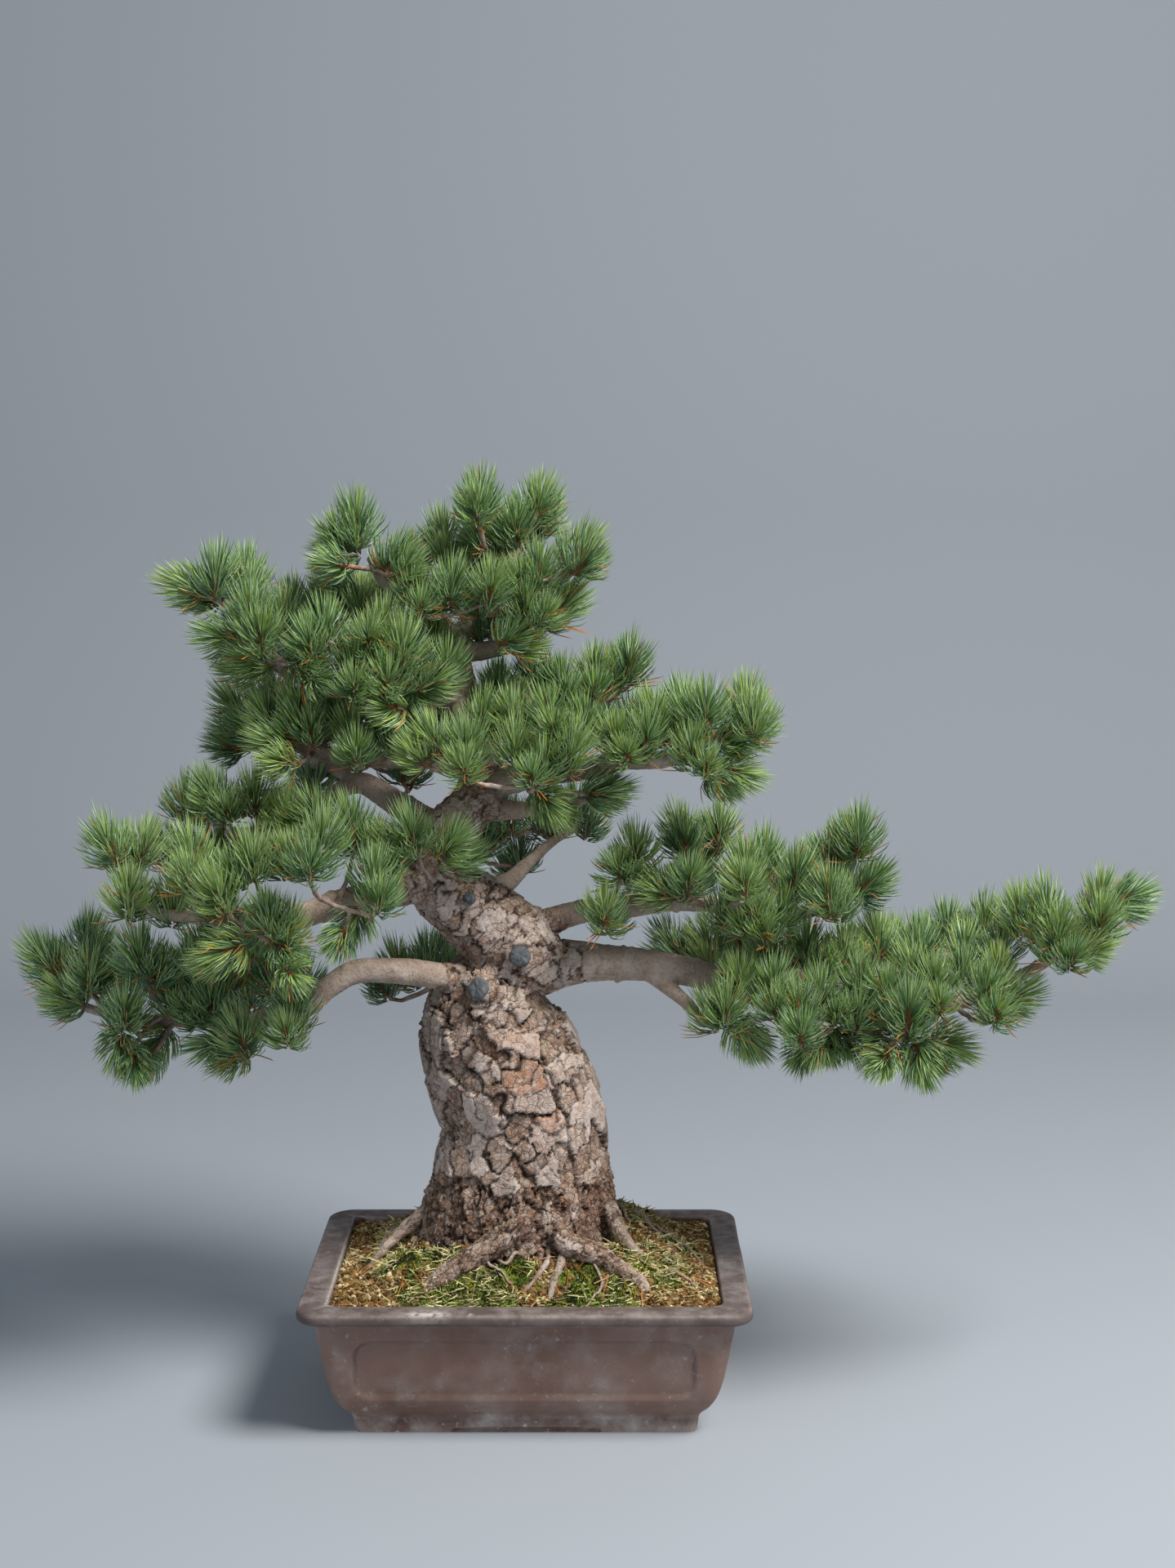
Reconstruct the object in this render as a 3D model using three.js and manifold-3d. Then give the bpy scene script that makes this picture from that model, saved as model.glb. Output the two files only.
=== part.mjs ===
// A bonsai white pine in an unglazed rectangular clay pot.
// Millimetres, +Z up, the pot's feet on z = 0. Seen from the front, +X is right and +Y is away.
// The model is drawn round the middle of the pot and is then moved so that its origin lies
// under the middle of its bounding box.
import * as THREE from 'three';
import { mergeVertices } from 'three/addons/utils/BufferGeometryUtils.js';
import Module from 'manifold-3d';

const wasm = await Module();
wasm.setup();

// ---- driving dimensions -------------------------------------------------------------------

const GAP = 0.3;                 // clearance between pieces that touch
const SEED = 41;                 // start of every seeded draw
const SEAM_TOLERANCE = 0.05;     // slivers left by joins and cuts below this size are merged

const POT_LENGTH = 400;          // across the lip, left to right
const POT_DEPTH = 300;           // across the lip, front to back
const POT_HEIGHT = 125;
const LIP_WIDTH = 26;            // flat top of the lip, from its outer edge to the opening
const LIP_CORNER = 24;           // corner radius of the lip
const CORNER_STEPS = 3;
const CORNER_SHRINK = 0.35;      // loss of corner radius for each millimetre of inset
const FOOT_INSET = 46;           // from the lip's edge in to the foot band
const FLOOR_TOP = 21;            // upper face of the pot's floor
const FLOOR_UNDERSIDE = 9;
const BAND_WIDTH = 12;           // thickness of the foot band
const ARCH_HEIGHT = 5.2;         // clear height between the feet
const ARCH_FRONT = 67;           // half the span between the feet, front and back
const ARCH_SIDE = 44;            // the same at the ends
const PANEL_LOW = 39;            // recessed panels, lower edge
const PANEL_HIGH = 95;
const PANEL_FRONT = 150;         // half length of the long panels
const PANEL_SIDE = 100;          // half length of the end panels
const PANEL_CORNER = 9;
const PANEL_DEPTH = 2.2;
const DRAIN_RADIUS = 12;
const DRAIN_PLACE = 85;          // from the middle of the pot

const SCREEN_SIZE = 38;          // square of mesh over each drain hole
const SCREEN_THICKNESS = 1;
const SCREEN_MESH = 8.5;         // side of one opening of the mesh
const SCREEN_PITCH = 11;

const SOIL_EDGE = 119;           // soil level along the wall of the pot
const SOIL_RISE = 32;            // how much higher it is round the trunk
const SOIL_SLOPE_X = 95;         // width of the slope at the ends
const SOIL_SLOPE_Y = 50;         // width of the slope at the front and back
const SOIL_GRAIN = 1.1;          // unevenness of its surface
const MOSS_FLAT = 0.35;          // share of a moss cushion's radius that has its full thickness
const SOIL_CELLS_X = 20;
const SOIL_CELLS_Y = 14;

const TRUNK_SIDES = 22;
const LEADER_SIDES = 10;
const LIMB_SIDES = 5;
const TRUNK_DEPTH_RATIO = 0.88;  // the trunk is a little flatter from front to back
const FLUTE_SHARE = 0.02;        // depth of the trunk's slow flutes, as a share of the radius
const PLATE_SINK = 1.6;          // how far the furrows between bark plates lie under the mean surface
const PLATE_FLAT = 0.65;         // share of a plate's width that stands at its full height
const PLATE_FOOT = 1.15;         // where its slope ends

const NEEDLE_LENGTH = 38;
const NEEDLE_CLEAR = 1.0;        // room kept round each needle's axis
const BUD_RADIUS = 1.9;          // core of a tuft, which its needles stand out of
const BUD_LENGTH = 9;
const BUD_CLEAR = 3.6;           // room kept round each core's axis
const TWIG_ROOT_RADIUS = 2.6;
const TWIG_TIP_RADIUS = 1.7;
const LONG_TWIG = 60;            // a longer twig has one more bend
const ROUTE_TRIES = 120;
const NEEDLE_TRIES = 14;
const TUFT_NOD = 0.22;           // largest random lean of a tuft
const TILTS = { low: 1.15, middle: 0.8, top: 0.32 };  // needles away from the tuft's axis, radians

// Profile of the pot's outside, from the ground up: inset from the lip's edge, then height.
const POT_OUTSIDE = [
  [FOOT_INSET, 0], [FOOT_INSET - 0.5, 12], [50, 14], [43, 18], [36.5, 24], [31, 33], [27, 43],
  [24, 54], [20.5, 72], [17, 92], [14.5, 106], [13, 112], [2.5, 113.5], [0, 116], [0, 121.5],
  [1.6, 124.2], [4.5, POT_HEIGHT],
];
// The inside, from the lip down to the floor.
const POT_INSIDE = [
  [LIP_WIDTH - 3, POT_HEIGHT], [LIP_WIDTH - 0.6, 123.8], [LIP_WIDTH, 121], [LIP_WIDTH + 1, 106],
  [LIP_WIDTH + 4, 62], [LIP_WIDTH + 9, 38], [LIP_WIDTH + 17, 27], [LIP_WIDTH + 26, FLOOR_TOP],
];

// Routes of the wood, as x, y, z and radius at each chosen point.
const STUMP = [
  [-10, 5, 72, 70], [-10, 5, 128, 96], [-8, 5, 155, 93], [-6.5, 4, 186, 87], [-5.5, 3, 215, 80],
  [-4, 2, 244, 74.5], [-8, 2, 273, 73], [-18, 1, 298, 72], [-26, 0, 322, 69.5],
  [-34, 0, 346, 63], [-30, 0, 368, 58.5], [-23, 0, 388, 50], [-12, 0, 402, 38],
];

// The trunk's main bark plates: degrees round the trunk from the back by way of the left,
// height, half width, half height and how far the plate stands out.
const PLATES = [
  [199, 303, 28, 21, 4.5], [153, 281, 24, 24, 4.5], [201, 270, 19, 13, 3.5], [172, 244, 17, 13, 4],
  [201, 232, 15, 20, 3.5], [176, 215, 16, 17, 4], [132, 301, 22, 16, 4.5], [130, 334, 26, 21, 4.5],
  [203, 345, 27, 21, 4.5], [171, 326, 14, 10, 3], [187, 374, 20, 11, 3.5], [233, 321, 21, 18, 4],
  [236, 272, 24, 23, 4.5], [237, 227, 20, 22, 4], [146, 238, 18, 20, 3.5], [100, 270, 22, 24, 4],
  [97, 318, 22, 22, 4.5], [114, 228, 20, 20, 3.5], [84, 222, 20, 20, 3.5], [62, 341, 26, 20, 4.5],
  [66, 296, 22, 22, 4.5], [54, 250, 24, 24, 4], [24, 322, 26, 22, 4.5], [28, 276, 22, 21, 4.5],
  [14, 234, 22, 22, 4], [346, 345, 26, 20, 4.5], [344, 298, 26, 23, 4.5], [334, 252, 22, 22, 4],
  [308, 331, 22, 20, 4.5], [306, 284, 22, 22, 4.5], [298, 238, 20, 22, 4], [270, 342, 18, 18, 4],
  [270, 299, 20, 21, 4], [268, 252, 18, 20, 4],
];
const LEADER = [
  [10, 0, 386, 33], [-4, -2, 413, 39], [-28, -6, 437, 37.5], [-54, -10, 458, 35],
  [-76, -14, 478, 32], [-84, -15, 500, 29], [-76, -11, 521, 26], [-58, -5, 540, 23],
  [-44, 0, 562, 21], [-42, 2, 586, 19.5], [-52, 3, 617, 17.5], [-59, 2, 650, 16],
  [-62, 0, 682, 13], [-62, 0, 708, 10],
];
const LIMBS = {
  left_low: [[-41, -8, 388, 17], [-77, -28, 398, 13], [-120, -45, 407, 11.5], [-152, -55, 408, 11],
    [-174, -60, 396, 10], [-199, -60, 373, 8], [-250, -60, 365, 7], [-302, -55, 363, 6],
    [-352, -55, 366, 5], [-402, -45, 377, 4], [-424, -40, 394, 3.5]],
  left_front: [[-84, -15, 484, 20], [-125, -55, 478, 14], [-166, -85, 474, 12.5],
    [-205, -100, 463, 10], [-241, -105, 461, 7.5], [-281, -100, 465, 6], [-322, -90, 469, 5],
    [-352, -80, 485, 4]],
  left_back: [[-76, -4, 525, 16], [-128, 25, 553, 11.5], [-154, 30, 567, 10], [-189, 5, 550, 7],
    [-228, -15, 530, 5.5], [-269, -30, 529, 4.5]],
  left_mid: [[-46, 0, 588, 12], [-86, -10, 593, 9], [-135, -20, 594, 8], [-193, -30, 605, 6.5],
    [-216, -32, 619, 5]],
  left_mid_back: [[-150, 29, 565, 9], [-186, 50, 582, 7.5], [-229, 58, 585, 6],
    [-259, 58, 604, 4.5]],
  left_up: [[-58, 0, 651, 12], [-91, -15, 651, 10.5], [-126, -30, 653, 9.5],
    [-162, -30, 662, 8.5], [-209, -25, 673, 7.5], [-233, -18, 691, 6.5], [-252, -12, 716, 5],
    [-268, -10, 736, 4]],
  apex_left: [[-62, 0, 702, 9.5], [-80, -5, 717, 8.5], [-101, -10, 734, 7.5],
    [-125, -10, 752, 6], [-138, -10, 775, 4.5]],
  apex_mid: [[-62, 0, 702, 9.5], [-44, 5, 724, 8], [-24, 5, 752, 7], [-16, 5, 779, 5]],
  apex_right: [[-62, 0, 688, 10], [-29, -8, 692, 8], [1, -12, 701, 7], [18, -12, 714, 5]],
  apex_high: [[-44, 5, 722, 7], [-12, 10, 727, 6], [19, 8, 743, 5.5], [37, 4, 762, 4.5]],
  right_up: [[-55, 0, 629, 12], [-26, 12, 629, 9], [14, 22, 632, 8], [59, 25, 638, 6.5],
    [83, 25, 652, 5]],
  right_mid: [[-44, 0, 566, 15], [-3, -15, 577, 11.5], [52, -30, 587, 10], [82, -38, 595, 9],
    [128, -45, 598, 7.5], [162, -47, 615, 5.5], [183, -47, 626, 4.5]],
  right_mid_low: [[-42, -2, 546, 13], [4, -22, 549, 6.5], [36, -32, 555, 5],
    [63, -35, 562, 3.5]],
  right_high: [[0, 0, 434, 16], [44, -10, 453, 11], [94, -20, 461, 10], [133, -20, 465, 9],
    [166, -12, 462, 8], [204, -4, 453, 7], [238, 0, 449, 6.5], [271, 0, 458, 6],
    [294, 0, 481, 5]],
  right_low: [[5, 0, 400, 30], [38, 0, 405, 21], [72, 0, 405, 17], [115, -5, 403, 14.5],
    [167, -15, 394, 12.5], [217, -30, 380, 10.5], [275, -40, 367, 9], [326, -45, 364, 8],
    [377, -45, 374, 7], [423, -42, 392, 6], [473, -36, 417, 5], [507, -30, 442, 4]],
  right_low_back: [[112, -3, 402, 10], [162, 35, 392, 7], [224, 55, 381, 6.5],
    [301, 58, 382, 6], [369, 55, 390, 5], [410, 45, 404, 4]],
  right_low_front: [[112, -8, 398, 9], [147, -38, 373, 5.5], [162, -50, 358, 4.5]],
  back_mid: [[-52, 5, 473, 16], [-24, 52, 467, 10], [3, 85, 487, 5.5], [26, 110, 503, 4.5],
    [46, 125, 513, 4]],
  back_low: [[-32, 20, 386, 17], [-64, 70, 377, 9], [-93, 98, 368, 6.5]],
  back_high: [[-50, 4, 613, 11], [-47, 55, 613, 8.5], [-41, 100, 613, 6.5]],
  knob: [[-44, 0, 556, 15], [-36, -22, 553, 12]],
};
const ROOTS = {
  front_left: [[0, -40, 200, 17], [-4, -66, 184, 15], [-22, -77, 169, 13.5], [-49, -86, 154, 11.5],
    [-79, -96, 136, 9], [-100, -104, 116, 6]],
  front_right: [[20, -50, 180, 15], [36, -74, 165, 12], [63, -82, 157, 10], [83, -88, 146, 8.5],
    [104, -94, 132, 7], [122, -101, 112, 5]],
  front_thin: [[24, -66, 166, 6], [22, -84, 152, 4.5], [10, -99, 138, 3.5], [-9, -109, 122, 3]],
  front_short: [[32, -66, 160, 7], [30, -86, 149, 5.5], [23, -99, 138, 4.5], [18, -111, 121, 3]],
  right: [[62, -20, 190, 12], [78, -32, 176, 9], [88, -43, 159, 6.5], [99, -50, 148, 5.5],
    [114, -56, 132, 4]],
  left: [[-76, -4, 186, 12], [-94, -9, 171, 9], [-116, -15, 156, 6.5], [-131, -28, 144, 4.5],
    [-145, -36, 128, 3]],
  back_left: [[-46, 56, 186, 13], [-58, 76, 168, 10], [-76, 92, 146, 7], [-96, 102, 122, 4]],
  back_right: [[40, 56, 186, 13], [52, 76, 168, 10], [68, 92, 146, 7], [88, 101, 122, 4]],
};

// Pruning cuts sealed with paste: the middle of the cut, the way it faces and its radius.
const CUTS = {
  low: { place: [-42, -52, 392], facing: [-0.25, -0.9, 0.3], radius: 9.5 },
  middle: { place: [-5, -44, 420], facing: [0.05, -0.95, 0.3], radius: 9 },
  high: { place: [-50, -47, 473], facing: [0.05, -0.95, 0.25], radius: 5.5 },
};
const CUT_COLLAR = 1.5;          // bark standing round each cut
const CUT_DEPTH = 30;            // how far the cut stub runs into the wood
const PASTE_THICKNESS = 2;

// Cushions of moss on the soil: x, y, radius and thickness.
const MOSS = [
  [-118, -64, 26, 4], [-92, -70, 24, 5], [-62, -112, 30, 5], [-30, -104, 26, 6], [-2, -92, 20, 4],
  [52, -104, 26, 6], [86, -110, 22, 4], [70, -74, 22, 5], [100, -72, 18, 4], [128, -84, 20, 4],
  [-100, -104, 22, 3], [112, -28, 18, 3], [24, -116, 16, 3], [-60, -78, 20, 5], [132, -40, 22, 3],
  [-118, 30, 30, 4], [96, 62, 34, 4], [10, 100, 40, 4], [-70, 84, 26, 4], [138, 20, 24, 3],
  [-140, -10, 18, 3],
];

// Each leafy twig: the limb it grows from, then its tufts as x, y, z of the bud, size, and
// where a tuft doesn't point up, how far it leans right and up.
const SPRAYS = {
  apex_1: ['apex_left', [-150, -10, 795, 1.15], [-158, -10, 778, 0.9, -1, 0.3],
    [-118, -20, 770, 0.9, 0.5, 0.9]],
  apex_2: ['apex_left', [-165, 35, 745, 1, -0.8, 0.6], [-140, 42, 735, 0.95], [-105, 25, 760, 0.9]],
  apex_3: ['apex_mid', [-100, -34, 742, 0.85], [-65, -42, 742, 1], [-30, -50, 745, 0.95]],
  apex_4: ['apex_mid', [-75, 25, 785, 0.95], [-40, -5, 818, 1], [-36, 20, 795, 0.85, -0.5, 0.8],
    [-55, 45, 760, 1]],
  apex_5: ['apex_mid', [10, 5, 815, 1], [-8, -10, 795, 0.95], [5, 30, 795, 0.9]],
  apex_6: ['apex_high', [45, 0, 772, 1.05, 0.6, 0.8], [12, -30, 757, 1], [-20, 62, 755, 1],
    [15, 55, 735, 1]],
  apex_7: ['apex_right', [30, -12, 727, 1.05, 0.6, 0.8], [0, -38, 725, 0.9],
    [-15, -42, 702, 0.8, 0.6, 0.4]],
  upper_left_1: ['left_up', [-275, -15, 750, 1.1], [-298, -5, 745, 0.95, -1, 0.5],
    [-252, 15, 752, 1]],
  upper_left_2: ['left_up', [-240, -40, 715, 1.2], [-262, -36, 705, 0.9, -1, 0.4],
    [-215, -18, 712, 1]],
  upper_left_3: ['left_up', [-150, -60, 675, 0.95], [-125, -50, 708, 1],
    [-232, -42, 684, 0.9, -1, 0.15], [-198, -52, 682, 0.9, 0.8, -0.05], [-175, -45, 705, 1]],
  upper_left_4: ['left_up', [-190, 34, 722, 0.9], [-155, 40, 726, 0.9], [-215, 42, 722, 1],
    [-200, 58, 688, 1], [-155, 62, 682, 1], [-110, 55, 685, 1]],
  upper_left_5: ['left_up', [-105, -72, 690, 1.1], [-118, -80, 665, 0.9],
    [-86, -66, 664, 0.9, 0.8, 0.4], [-112, -78, 646, 0.75, -0.8, 0.3], [-70, -45, 675, 0.9],
    [-82, -20, 700, 0.9]],
  mid_left_1: ['left_mid_back', [-200, 75, 632, 1], [-160, 78, 628, 1], [-235, 92, 606, 1],
    [-262, 40, 630, 1, -0.8, 0.6], [-235, 28, 640, 1], [-266, 58, 606, 0.9, -0.8, 0.2]],
  mid_left_2: ['left_mid', [-200, -42, 635, 1], [-214, -50, 612, 0.9, -1, 0.3],
    [-226, -32, 628, 0.9, -0.5, 0.8]],
  mid_left_3: ['left_mid', [-150, -50, 616, 1], [-175, -15, 622, 0.9], [-122, -50, 615, 0.95],
    [-108, -25, 630, 0.9]],
  mid_right_1: ['right_mid', [-76, -78, 612, 1, -0.6, 0.8], [-50, -88, 608, 1.05],
    [-8, -80, 605, 1], [18, -88, 595, 0.9], [-10, -55, 630, 0.95], [-38, -58, 630, 0.9]],
  mid_right_2: ['right_mid', [40, -85, 605, 1.1], [22, -58, 632, 1], [52, -48, 625, 0.9]],
  mid_right_3: ['right_up', [-26, -10, 650, 0.9], [8, 8, 662, 0.95], [32, -6, 656, 0.9],
    [62, 14, 662, 0.95], [92, 20, 670, 1], [80, 48, 660, 0.95]],
  mid_right_4: ['right_mid', [80, -62, 612, 1], [106, -72, 615, 0.95], [114, -52, 630, 1],
    [146, -80, 602, 0.95], [178, -60, 590, 1, 0.8, -0.2]],
  mid_right_5: ['right_mid', [95, 28, 620, 1], [138, 22, 620, 1], [158, -69, 634, 1.1],
    [140, -30, 636, 1], [194, -44, 636, 1.1], [190, -52, 620, 0.95, 1, 0.2]],
  mid_right_6: ['right_mid_low', [16, -62, 566, 0.8, 0.3, -0.3], [64, -48, 568, 0.95, 1, 0.1]],
  mid_right_7: ['right_up', [18, 72, 636, 1], [58, 78, 622, 1], [-22, 68, 636, 1]],
  left_1: ['left_front', [-150, -82, 538, 1.05], [-130, -92, 520, 0.9], [-170, -148, 530, 1.25],
    [-128, -128, 498, 1.05], [-142, -124, 470, 0.7, -0.2, -0.8]],
  left_2: ['left_front', [-255, -150, 490, 1.05], [-215, -148, 470, 0.9],
    [-246, -148, 448, 0.9, -1, -0.1], [-204, -138, 446, 0.8, 0.3, -0.4]],
  left_3: ['left_front', [-362, -74, 520, 1, -0.4, 0.9], [-338, -52, 515, 0.95],
    [-345, -92, 476, 1.1]],
  left_4: ['left_front', [-285, -105, 515, 1.05], [-308, -62, 477, 1], [-230, -130, 515, 1.05]],
  left_5: ['left_back', [-325, 5, 500, 1], [-288, 28, 495, 1], [-245, 42, 500, 1],
    [-275, -45, 560, 1, -0.3, 0.9], [-240, -44, 556, 1.05], [-308, -6, 548, 0.9]],
  left_6: ['left_back', [-210, -60, 545, 1], [-182, -68, 546, 1], [-200, -118, 515, 0.95]],
  left_7: ['leader', [-96, -102, 534, 1.05, -0.3, 0.9], [-68, -90, 524, 1, 0.4, 0.9]],
  low_left_1: ['left_low', [-428, -38, 410, 1, -0.5, 0.8], [-402, -54, 382, 0.95, -0.9, 0.4],
    [-385, -72, 404, 1.05]],
  low_left_2: ['left_low', [-336, -90, 424, 1.05], [-350, -95, 376, 1], [-356, -86, 352, 0.8, 0, -1]],
  low_left_3: ['left_low', [-260, -58, 404, 0.95], [-225, -60, 402, 0.95], [-298, -44, 405, 0.9],
    [-310, -72, 382, 0.95], [-324, -62, 350, 0.8, -0.5, -0.6], [-276, -82, 380, 1]],
  low_left_4: ['left_low', [-246, -100, 355, 1.15], [-270, -84, 352, 0.9, -0.8, -0.1],
    [-202, -95, 376, 1.1]],
  low_left_5: ['left_low', [-312, 32, 372, 1], [-256, 25, 366, 1], [-206, 4, 378, 0.9],
    [-405, 12, 418, 0.95], [-362, 24, 386, 1]],
  right_1: ['right_high', [70, -56, 456, 0.95], [98, -32, 506, 1.05, -0.3, 0.9],
    [110, -26, 486, 0.85, -0.9, 0.2]],
  right_2: ['right_high', [142, 34, 515, 0.95], [176, 40, 515, 1], [160, 60, 475, 0.95],
    [210, 64, 466, 1], [264, 58, 476, 1]],
  right_3: ['right_high', [145, -56, 486, 1.05], [195, -60, 495, 1.1], [206, -56, 456, 0.95, -0.2, 0.9]],
  right_4: ['right_high', [240, -38, 486, 1.05], [216, -2, 496, 0.95], [270, -50, 470, 1.05]],
  right_5: ['right_high', [300, -6, 514, 1.1, 0.2, 1], [306, -20, 478, 1, 0.5, 0.8],
    [278, 20, 496, 0.95]],
  low_right_1: ['right_low_back', [170, 58, 404, 1, -0.3, 0.9], [136, 72, 402, 0.95, -0.6, 0.7],
    [200, 84, 400, 1]],
  low_right_2: ['right_low', [220, -8, 405, 1.05], [252, -14, 416, 1], [286, -22, 410, 1],
    [320, -8, 420, 1.05], [298, -62, 392, 1]],
  low_right_3: ['right_low_front', [178, -70, 372, 1.05], [192, -60, 356, 0.85, 0.6, -0.7]],
  low_right_4: ['right_low', [240, -90, 374, 1.15], [220, -62, 392, 0.95],
    [262, -64, 350, 0.85, -0.2, -0.6]],
  low_right_5: ['right_low', [335, -98, 374, 1.3], [318, -80, 348, 0.95, -0.4, -0.4],
    [346, -84, 342, 0.9, 0.2, -1], [370, -70, 346, 0.9, 0.9, -0.2]],
  low_right_6: ['right_low', [355, -22, 415, 1.1], [362, -70, 396, 1], [398, -6, 412, 1],
    [428, -16, 418, 0.95]],
  low_right_7: ['right_low', [404, -80, 390, 1.1], [428, -64, 384, 1, 0.9, 0.3]],
  low_right_8: ['right_low', [446, -20, 446, 1], [466, -42, 454, 1.1], [470, -62, 430, 1.05],
    [500, -44, 436, 0.85, 1, 0.2], [514, -28, 460, 1.05], [536, -24, 468, 0.95, 0.9, 0.4]],
  low_right_9: ['right_low_back', [260, 98, 388, 1], [305, 94, 392, 1], [350, 84, 398, 1],
    [394, 70, 416, 1], [424, 44, 428, 0.95]],
  back_1: ['back_low', [-100, 120, 375, 1], [-84, 132, 380, 1], [-126, 104, 372, 0.95]],
  back_2: ['back_mid', [-45, 108, 495, 0.95], [-10, 148, 472, 0.9], [-20, 112, 516, 1],
    [10, 138, 512, 1], [42, 130, 522, 0.95]],
  back_3: ['back_high', [-70, 122, 630, 1], [-35, 132, 636, 1], [-4, 128, 598, 1]],
};

// ---- materials ----------------------------------------------------------------------------

function finish(color, roughness) {
  return new THREE.MeshStandardMaterial({ color, roughness, metalness: 0 });
}

const clay = finish(0x6e5f58, 0.75);
const soilGrit = finish(0x9a8a66, 0.95);
const bark = finish(0x8f8278, 0.92);
const needles = finish(0x6f8456, 0.6);
const paste = finish(0x8d9096, 0.7);
const screenPlastic = finish(0x2c2c2c, 0.6);

// ---- seeded draws and small vector helpers ------------------------------------------------

function seeded(seed) {
  let state = seed >>> 0;
  return () => {
    state = (state + 0x6d2b79f5) >>> 0;
    let mixed = Math.imul(state ^ (state >>> 15), state | 1);
    mixed ^= mixed + Math.imul(mixed ^ (mixed >>> 7), mixed | 61);
    return ((mixed ^ (mixed >>> 14)) >>> 0) / 4294967296;
  };
}

function vector(numbers) {
  return new THREE.Vector3(numbers[0], numbers[1], numbers[2]);
}

function drawInBall(draw) {
  return new THREE.Vector3(2 * draw() - 1, 2 * draw() - 1, 2 * draw() - 1);
}

function around(radius, angle, height) {
  return new THREE.Vector3(radius * Math.cos(angle), radius * Math.sin(angle), height);
}

function smooth(value) {
  const t = THREE.MathUtils.clamp(value, 0, 1);
  return t * t * (3 - 2 * t);
}

// Shortest distance between two straight stretches.
function stretchDistance(a, b, c, d) {
  const u = b.clone().sub(a);
  const v = d.clone().sub(c);
  const w = a.clone().sub(c);
  const uu = u.dot(u);
  const uv = u.dot(v);
  const vv = v.dot(v);
  const uw = u.dot(w);
  const vw = v.dot(w);
  const spread = uu * vv - uv * uv;
  let s = spread > 1e-6 ? THREE.MathUtils.clamp((uv * vw - vv * uw) / spread, 0, 1) : 0;
  const t = THREE.MathUtils.clamp((uv * s + vw) / vv, 0, 1);
  s = THREE.MathUtils.clamp((uv * t - uw) / uu, 0, 1);
  return w.addScaledVector(u, s).addScaledVector(v, -t).length();
}

// ---- solids -------------------------------------------------------------------------------

function solidOf(geometry) {
  const plain = geometry.clone();
  for (const name of Object.keys(plain.attributes)) {
    if (name !== 'position') {
      plain.deleteAttribute(name);
    }
  }
  const merged = mergeVertices(plain, 1e-4);
  return new wasm.Manifold(new wasm.Mesh({
    numProp: 3,
    vertProperties: new Float32Array(merged.attributes.position.array),
    triVerts: new Uint32Array(merged.index.array),
  }));
}

function geometryOf(solid) {
  const mesh = solid.getMesh();
  const geometry = new THREE.BufferGeometry();
  geometry.setAttribute('position', new THREE.BufferAttribute(mesh.vertProperties, 3));
  geometry.setIndex(new THREE.BufferAttribute(mesh.triVerts, 1));
  return geometry;
}

function fuse(solids) {
  return solids.reduce((whole, piece) => whole.add(piece));
}

// The largest connected piece of a solid.
function mainBody(solid) {
  const bodies = solid.decompose();
  return bodies.reduce((best, body) => (body.volume() > best.volume() ? body : best));
}

function solidFromTriangles(points, triangles) {
  const geometry = new THREE.BufferGeometry();
  geometry.setAttribute('position', new THREE.Float32BufferAttribute(points.flatMap((p) => p.toArray()), 3));
  geometry.setIndex(triangles.flat());
  return solidOf(geometry);
}

// A closed solid through rings of points, each ring anticlockwise seen from the next one.
function loft(rings) {
  const count = rings[0].length;
  const points = rings.flat();
  const triangles = [];
  for (let i = 0; i + 1 < rings.length; i += 1) {
    for (let j = 0; j < count; j += 1) {
      const low = i * count + j;
      const lowNext = i * count + ((j + 1) % count);
      triangles.push([low, lowNext, lowNext + count], [low, lowNext + count, low + count]);
    }
  }
  const middle = (ring) => ring.reduce((sum, p) => sum.add(p), new THREE.Vector3()).divideScalar(count);
  const first = points.push(middle(rings[0])) - 1;
  const last = points.push(middle(rings.at(-1))) - 1;
  const top = (rings.length - 1) * count;
  for (let j = 0; j < count; j += 1) {
    const next = (j + 1) % count;
    triangles.push([first, next, j], [last, top + j, top + next]);
  }
  return solidFromTriangles(points, triangles);
}

// Rings round a smooth curve through points given as x, y, z and radius, one ring a point.
function ringsAlong(places, radii, sides, firstSide, swellAt) {
  const curve = new THREE.CatmullRomCurve3(places);
  let side = firstSide;
  return places.map((place, i) => {
    const along = curve.getTangent(i / (places.length - 1));
    side = side.clone().addScaledVector(along, -side.dot(along)).normalize();
    const across = new THREE.Vector3().crossVectors(along, side);
    const ring = [];
    for (let j = 0; j < sides; j += 1) {
      const angle = (2 * Math.PI * j) / sides;
      const reach = radii[i] * swellAt(angle, i, j);
      ring.push(place.clone()
        .addScaledVector(side, reach * Math.cos(angle))
        .addScaledVector(across, reach * Math.sin(angle)));
    }
    return ring;
  });
}

function tube(route, sides, extra = 0, swellAt = () => 1, depthRatio = 1) {
  const places = route.map(vector);
  const radii = route.map((numbers) => numbers[3] + extra);
  const start = places[1].clone().sub(places[0]).normalize();
  const end = places.at(-1).clone().sub(places.at(-2)).normalize();
  places[0].addScaledVector(start, -extra);
  places.at(-1).addScaledVector(end, extra);
  const firstSide = new THREE.Vector3(Math.abs(start.y) > 0.9 ? 1 : 0, Math.abs(start.y) > 0.9 ? 0 : 1, 0);
  const rings = ringsAlong(places, radii, sides, firstSide, swellAt);
  rings.flat().forEach((point) => point.setY(point.y * depthRatio));
  return loft(rings);
}

// ---- pot ----------------------------------------------------------------------------------

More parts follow.
